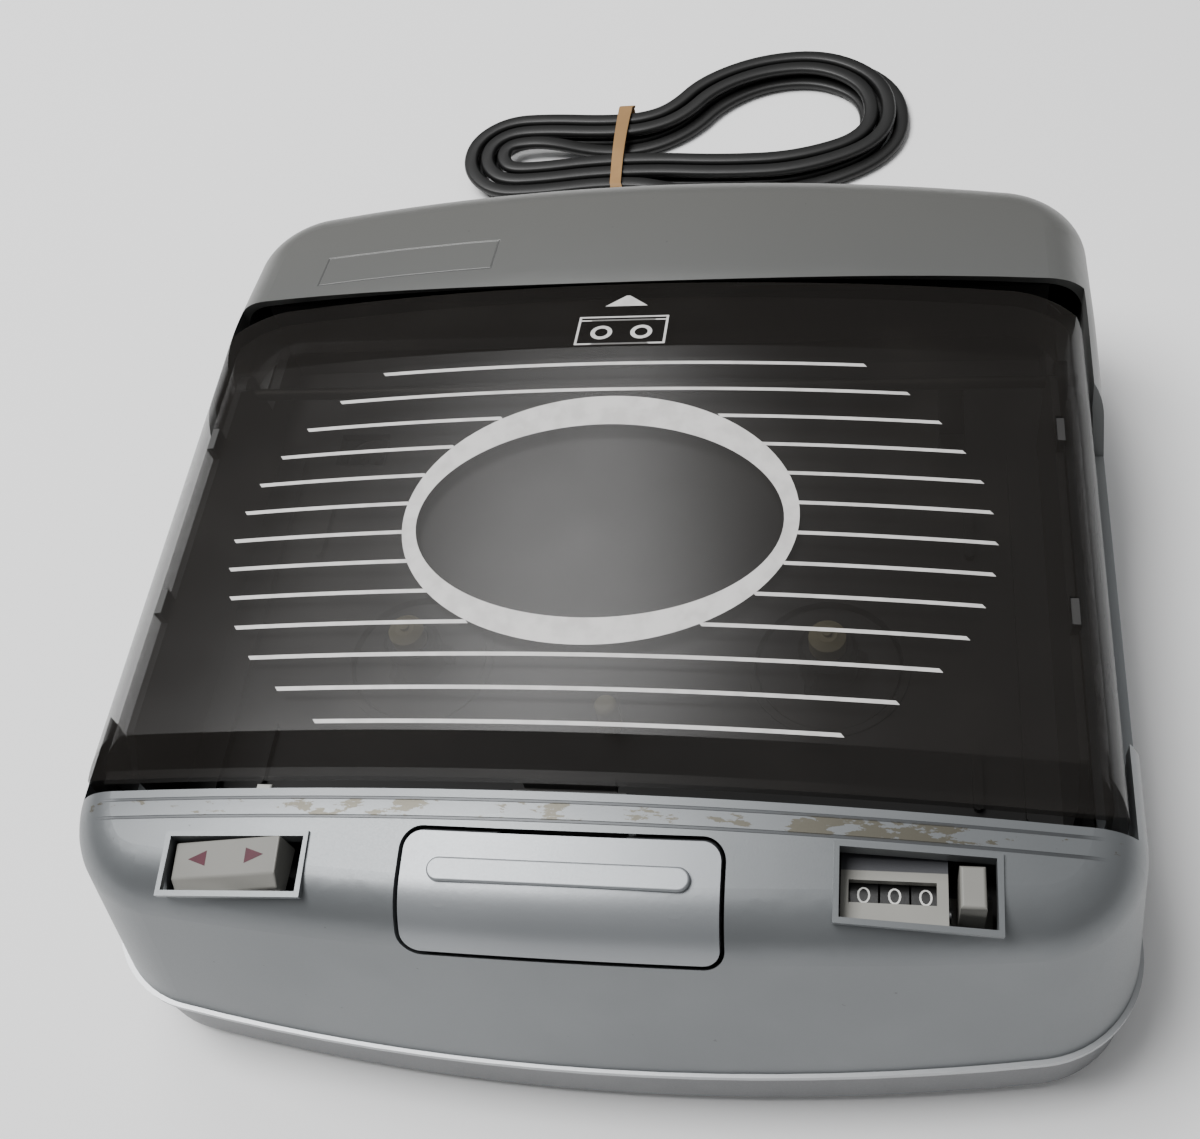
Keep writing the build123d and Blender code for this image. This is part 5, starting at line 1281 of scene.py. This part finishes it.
# ---------------------------------------------------------------- room
@dataclass
class Studio:
    """Pale floor, soft light and the camera at the photograph's angle."""

    eye: tuple[float, float, float] = (57.145 * MM, -185.377 * MM, 318.796 * MM)
    right: tuple[float, float, float] = (0.98258560, 0.10803045, -0.15117858)
    up: tuple[float, float, float] = (-0.00594505, 0.83147857, 0.55552502)
    back: tuple[float, float, float] = (0.18571537, -0.54495212, 0.81764111)
    lens: float = 43.80
    sensor: float = 36.0
    floor_half: float = 9.0
    mottle_scale: float = 3.0
    aim: tuple[float, float, float] = (0, 0, 40 * MM)  # where the lamps point
    lamps: tuple[tuple[str, tuple[float, float, float], float, float], ...] = (  # place, side, watts
        ("key_light", (-0.75, 0.10, 1.7), 1.0, 46.0),
        ("sheen_light", (-0.40, 0.95, 1.6), 0.6, 8.0),
    )
    world_strength: float = 0.42

    def floor_material(self) -> bpy.types.Material:
        """Pale painted board with a barely visible mottle.

        Returns:
            The finish.
        """
        material, tree, where = new_material("pale_floor_board")
        mottle = add_node(tree, Step.NOISE, where, self.mottle_scale, 3.0)
        finish_surface(tree, add_node(tree, Step.BLEND, mottle, "#fbfbfb", "#f7f7f7"), 0.8)
        return material

    def lamp(self, name: str, place: tuple[float, float, float], size: float, power: float) -> None:
        """Square soft light aimed at the object.

        Args:
            name: the light's name.
            place: where it hangs.
            size: its side.
            power: its power in watts.
        """
        light = bpy.data.lights.new(name, "AREA")
        light.size = size
        light.energy = power
        holder = bpy.data.objects.new(name, light)
        holder.location = place
        way = Vector(self.aim) - Vector(place)
        holder.rotation_euler = way.to_track_quat("-Z", "Y").to_euler()
        bpy.context.scene.collection.objects.link(holder)

    def sky(self) -> None:
        """Surrounds the room with a soft light that is brighter from above."""
        world = bpy.data.worlds.new("soft_room")
        world.use_nodes = True
        tree = world.node_tree
        rise = add_node(tree, Step.Z, add_node(tree, Step.DIRECTION))
        height = add_node(tree, Step.SMOOTH, rise, 0.0, 0.9)
        background = tree.nodes["Background"]
        tree.links.new(add_node(tree, Step.BLEND, height, "#77797b", "#f6f7f8"), background.inputs["Color"])
        background.inputs["Strength"].default_value = self.world_strength
        bpy.context.scene.world = world

    def camera(self) -> None:
        """Sets the camera at the photograph's angle."""
        data = bpy.data.cameras.new("camera")
        data.lens = self.lens
        data.sensor_width = self.sensor
        data.sensor_fit = "HORIZONTAL"
        data.clip_start = 10 * MM
        holder = bpy.data.objects.new("camera", data)
        turn = Matrix((self.right, self.up, self.back)).transposed().to_4x4()
        holder.matrix_world = Matrix.Translation(self.eye) @ turn
        bpy.context.scene.collection.objects.link(holder)
        bpy.context.scene.camera = holder

    def build(self) -> None:
        """Sets the room."""
        h = self.floor_half
        corners = [(-h, -h, 0), (h, -h, 0), (h, h, 0), (-h, h, 0)]
        floor = mesh_piece("floor", corners, [(0, 1, 2, 3)], self.floor_material())
        self.sky()
        for name, place, size, power in self.lamps:
            self.lamp(name, place, size, power)
        self.camera()
        log.info("set the room")


@dataclass
class Housing:
    """Finishes of the CAD nodes, group by group."""

    finishes: Finishes

    def build(self) -> None:
        """Dresses every node."""
        f = self.finishes
        groups = [
            (f.case, ["top_case"]),
            (f.button, ["eject_button"]),
            (f.base, ["base_case"]),
            (f.lid, ["lid"]),
            (f.black, ["cassette_rail_left", "cassette_rail_right", "lid_catch", "deck_tray",
                       "left_reel_table", "right_reel_table", "smoothing_capacitor", "motor_relay",
                       "direction_switch"]),
            (f.ivory, ["brake_release_pin", "left_spindle_cap", "right_spindle_cap"]),
            (f.stop, ["lid_stop"]),
            (f.zinc, ["chassis_plate", "motor"]),
            (f.steel, ["reel_shafts", "drive_shaft", "motor_shaft", "idler_axle", "latch_pin",
                       "rocker_pin", "counter_shaft", "chassis_screws", "case_screws",
                       "eject_springs", "reset_spring"]),
            (f.passivated, ["hinge_rod"]),
            (f.white, ["drive_roller", "drive_pulley", "idler_wheel", "counter_pulley", "idler_arm"]),
            (f.brass, ["motor_pulley"]),
            (f.rubber, ["drive_belt", "idler_tyre", "feet"]),
            (f.iron, ["transformer"]),
            (f.board, ["circuit_board"]),
            (f.grey, ["front_bracket", "latch"]),
            (f.warm_grey, ["direction_rocker", "counter_reset_button"]),
            (f.counter, ["counter_frame"]),
            (f.wheel, ["counter_wheel_hundreds", "counter_wheel_tens", "counter_wheel_units"]),
        ]
        for material, names in groups:
            dress([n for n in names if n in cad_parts], material)
        log.info("dressed %d groups of nodes", len(groups))


def main() -> None:
    """Makes the finishes, then the room and each sub-assembly."""
    finishes = Finishes()
    Studio().build()
    MainsCord(finishes).build()
    Housing(finishes).build()
    LidPrint(finishes).build()
    DirectionRocker(finishes).build()
    CounterDigits(finishes).build()
    log.info("wrote both boxes")


if __name__ == "__main__":
    main()
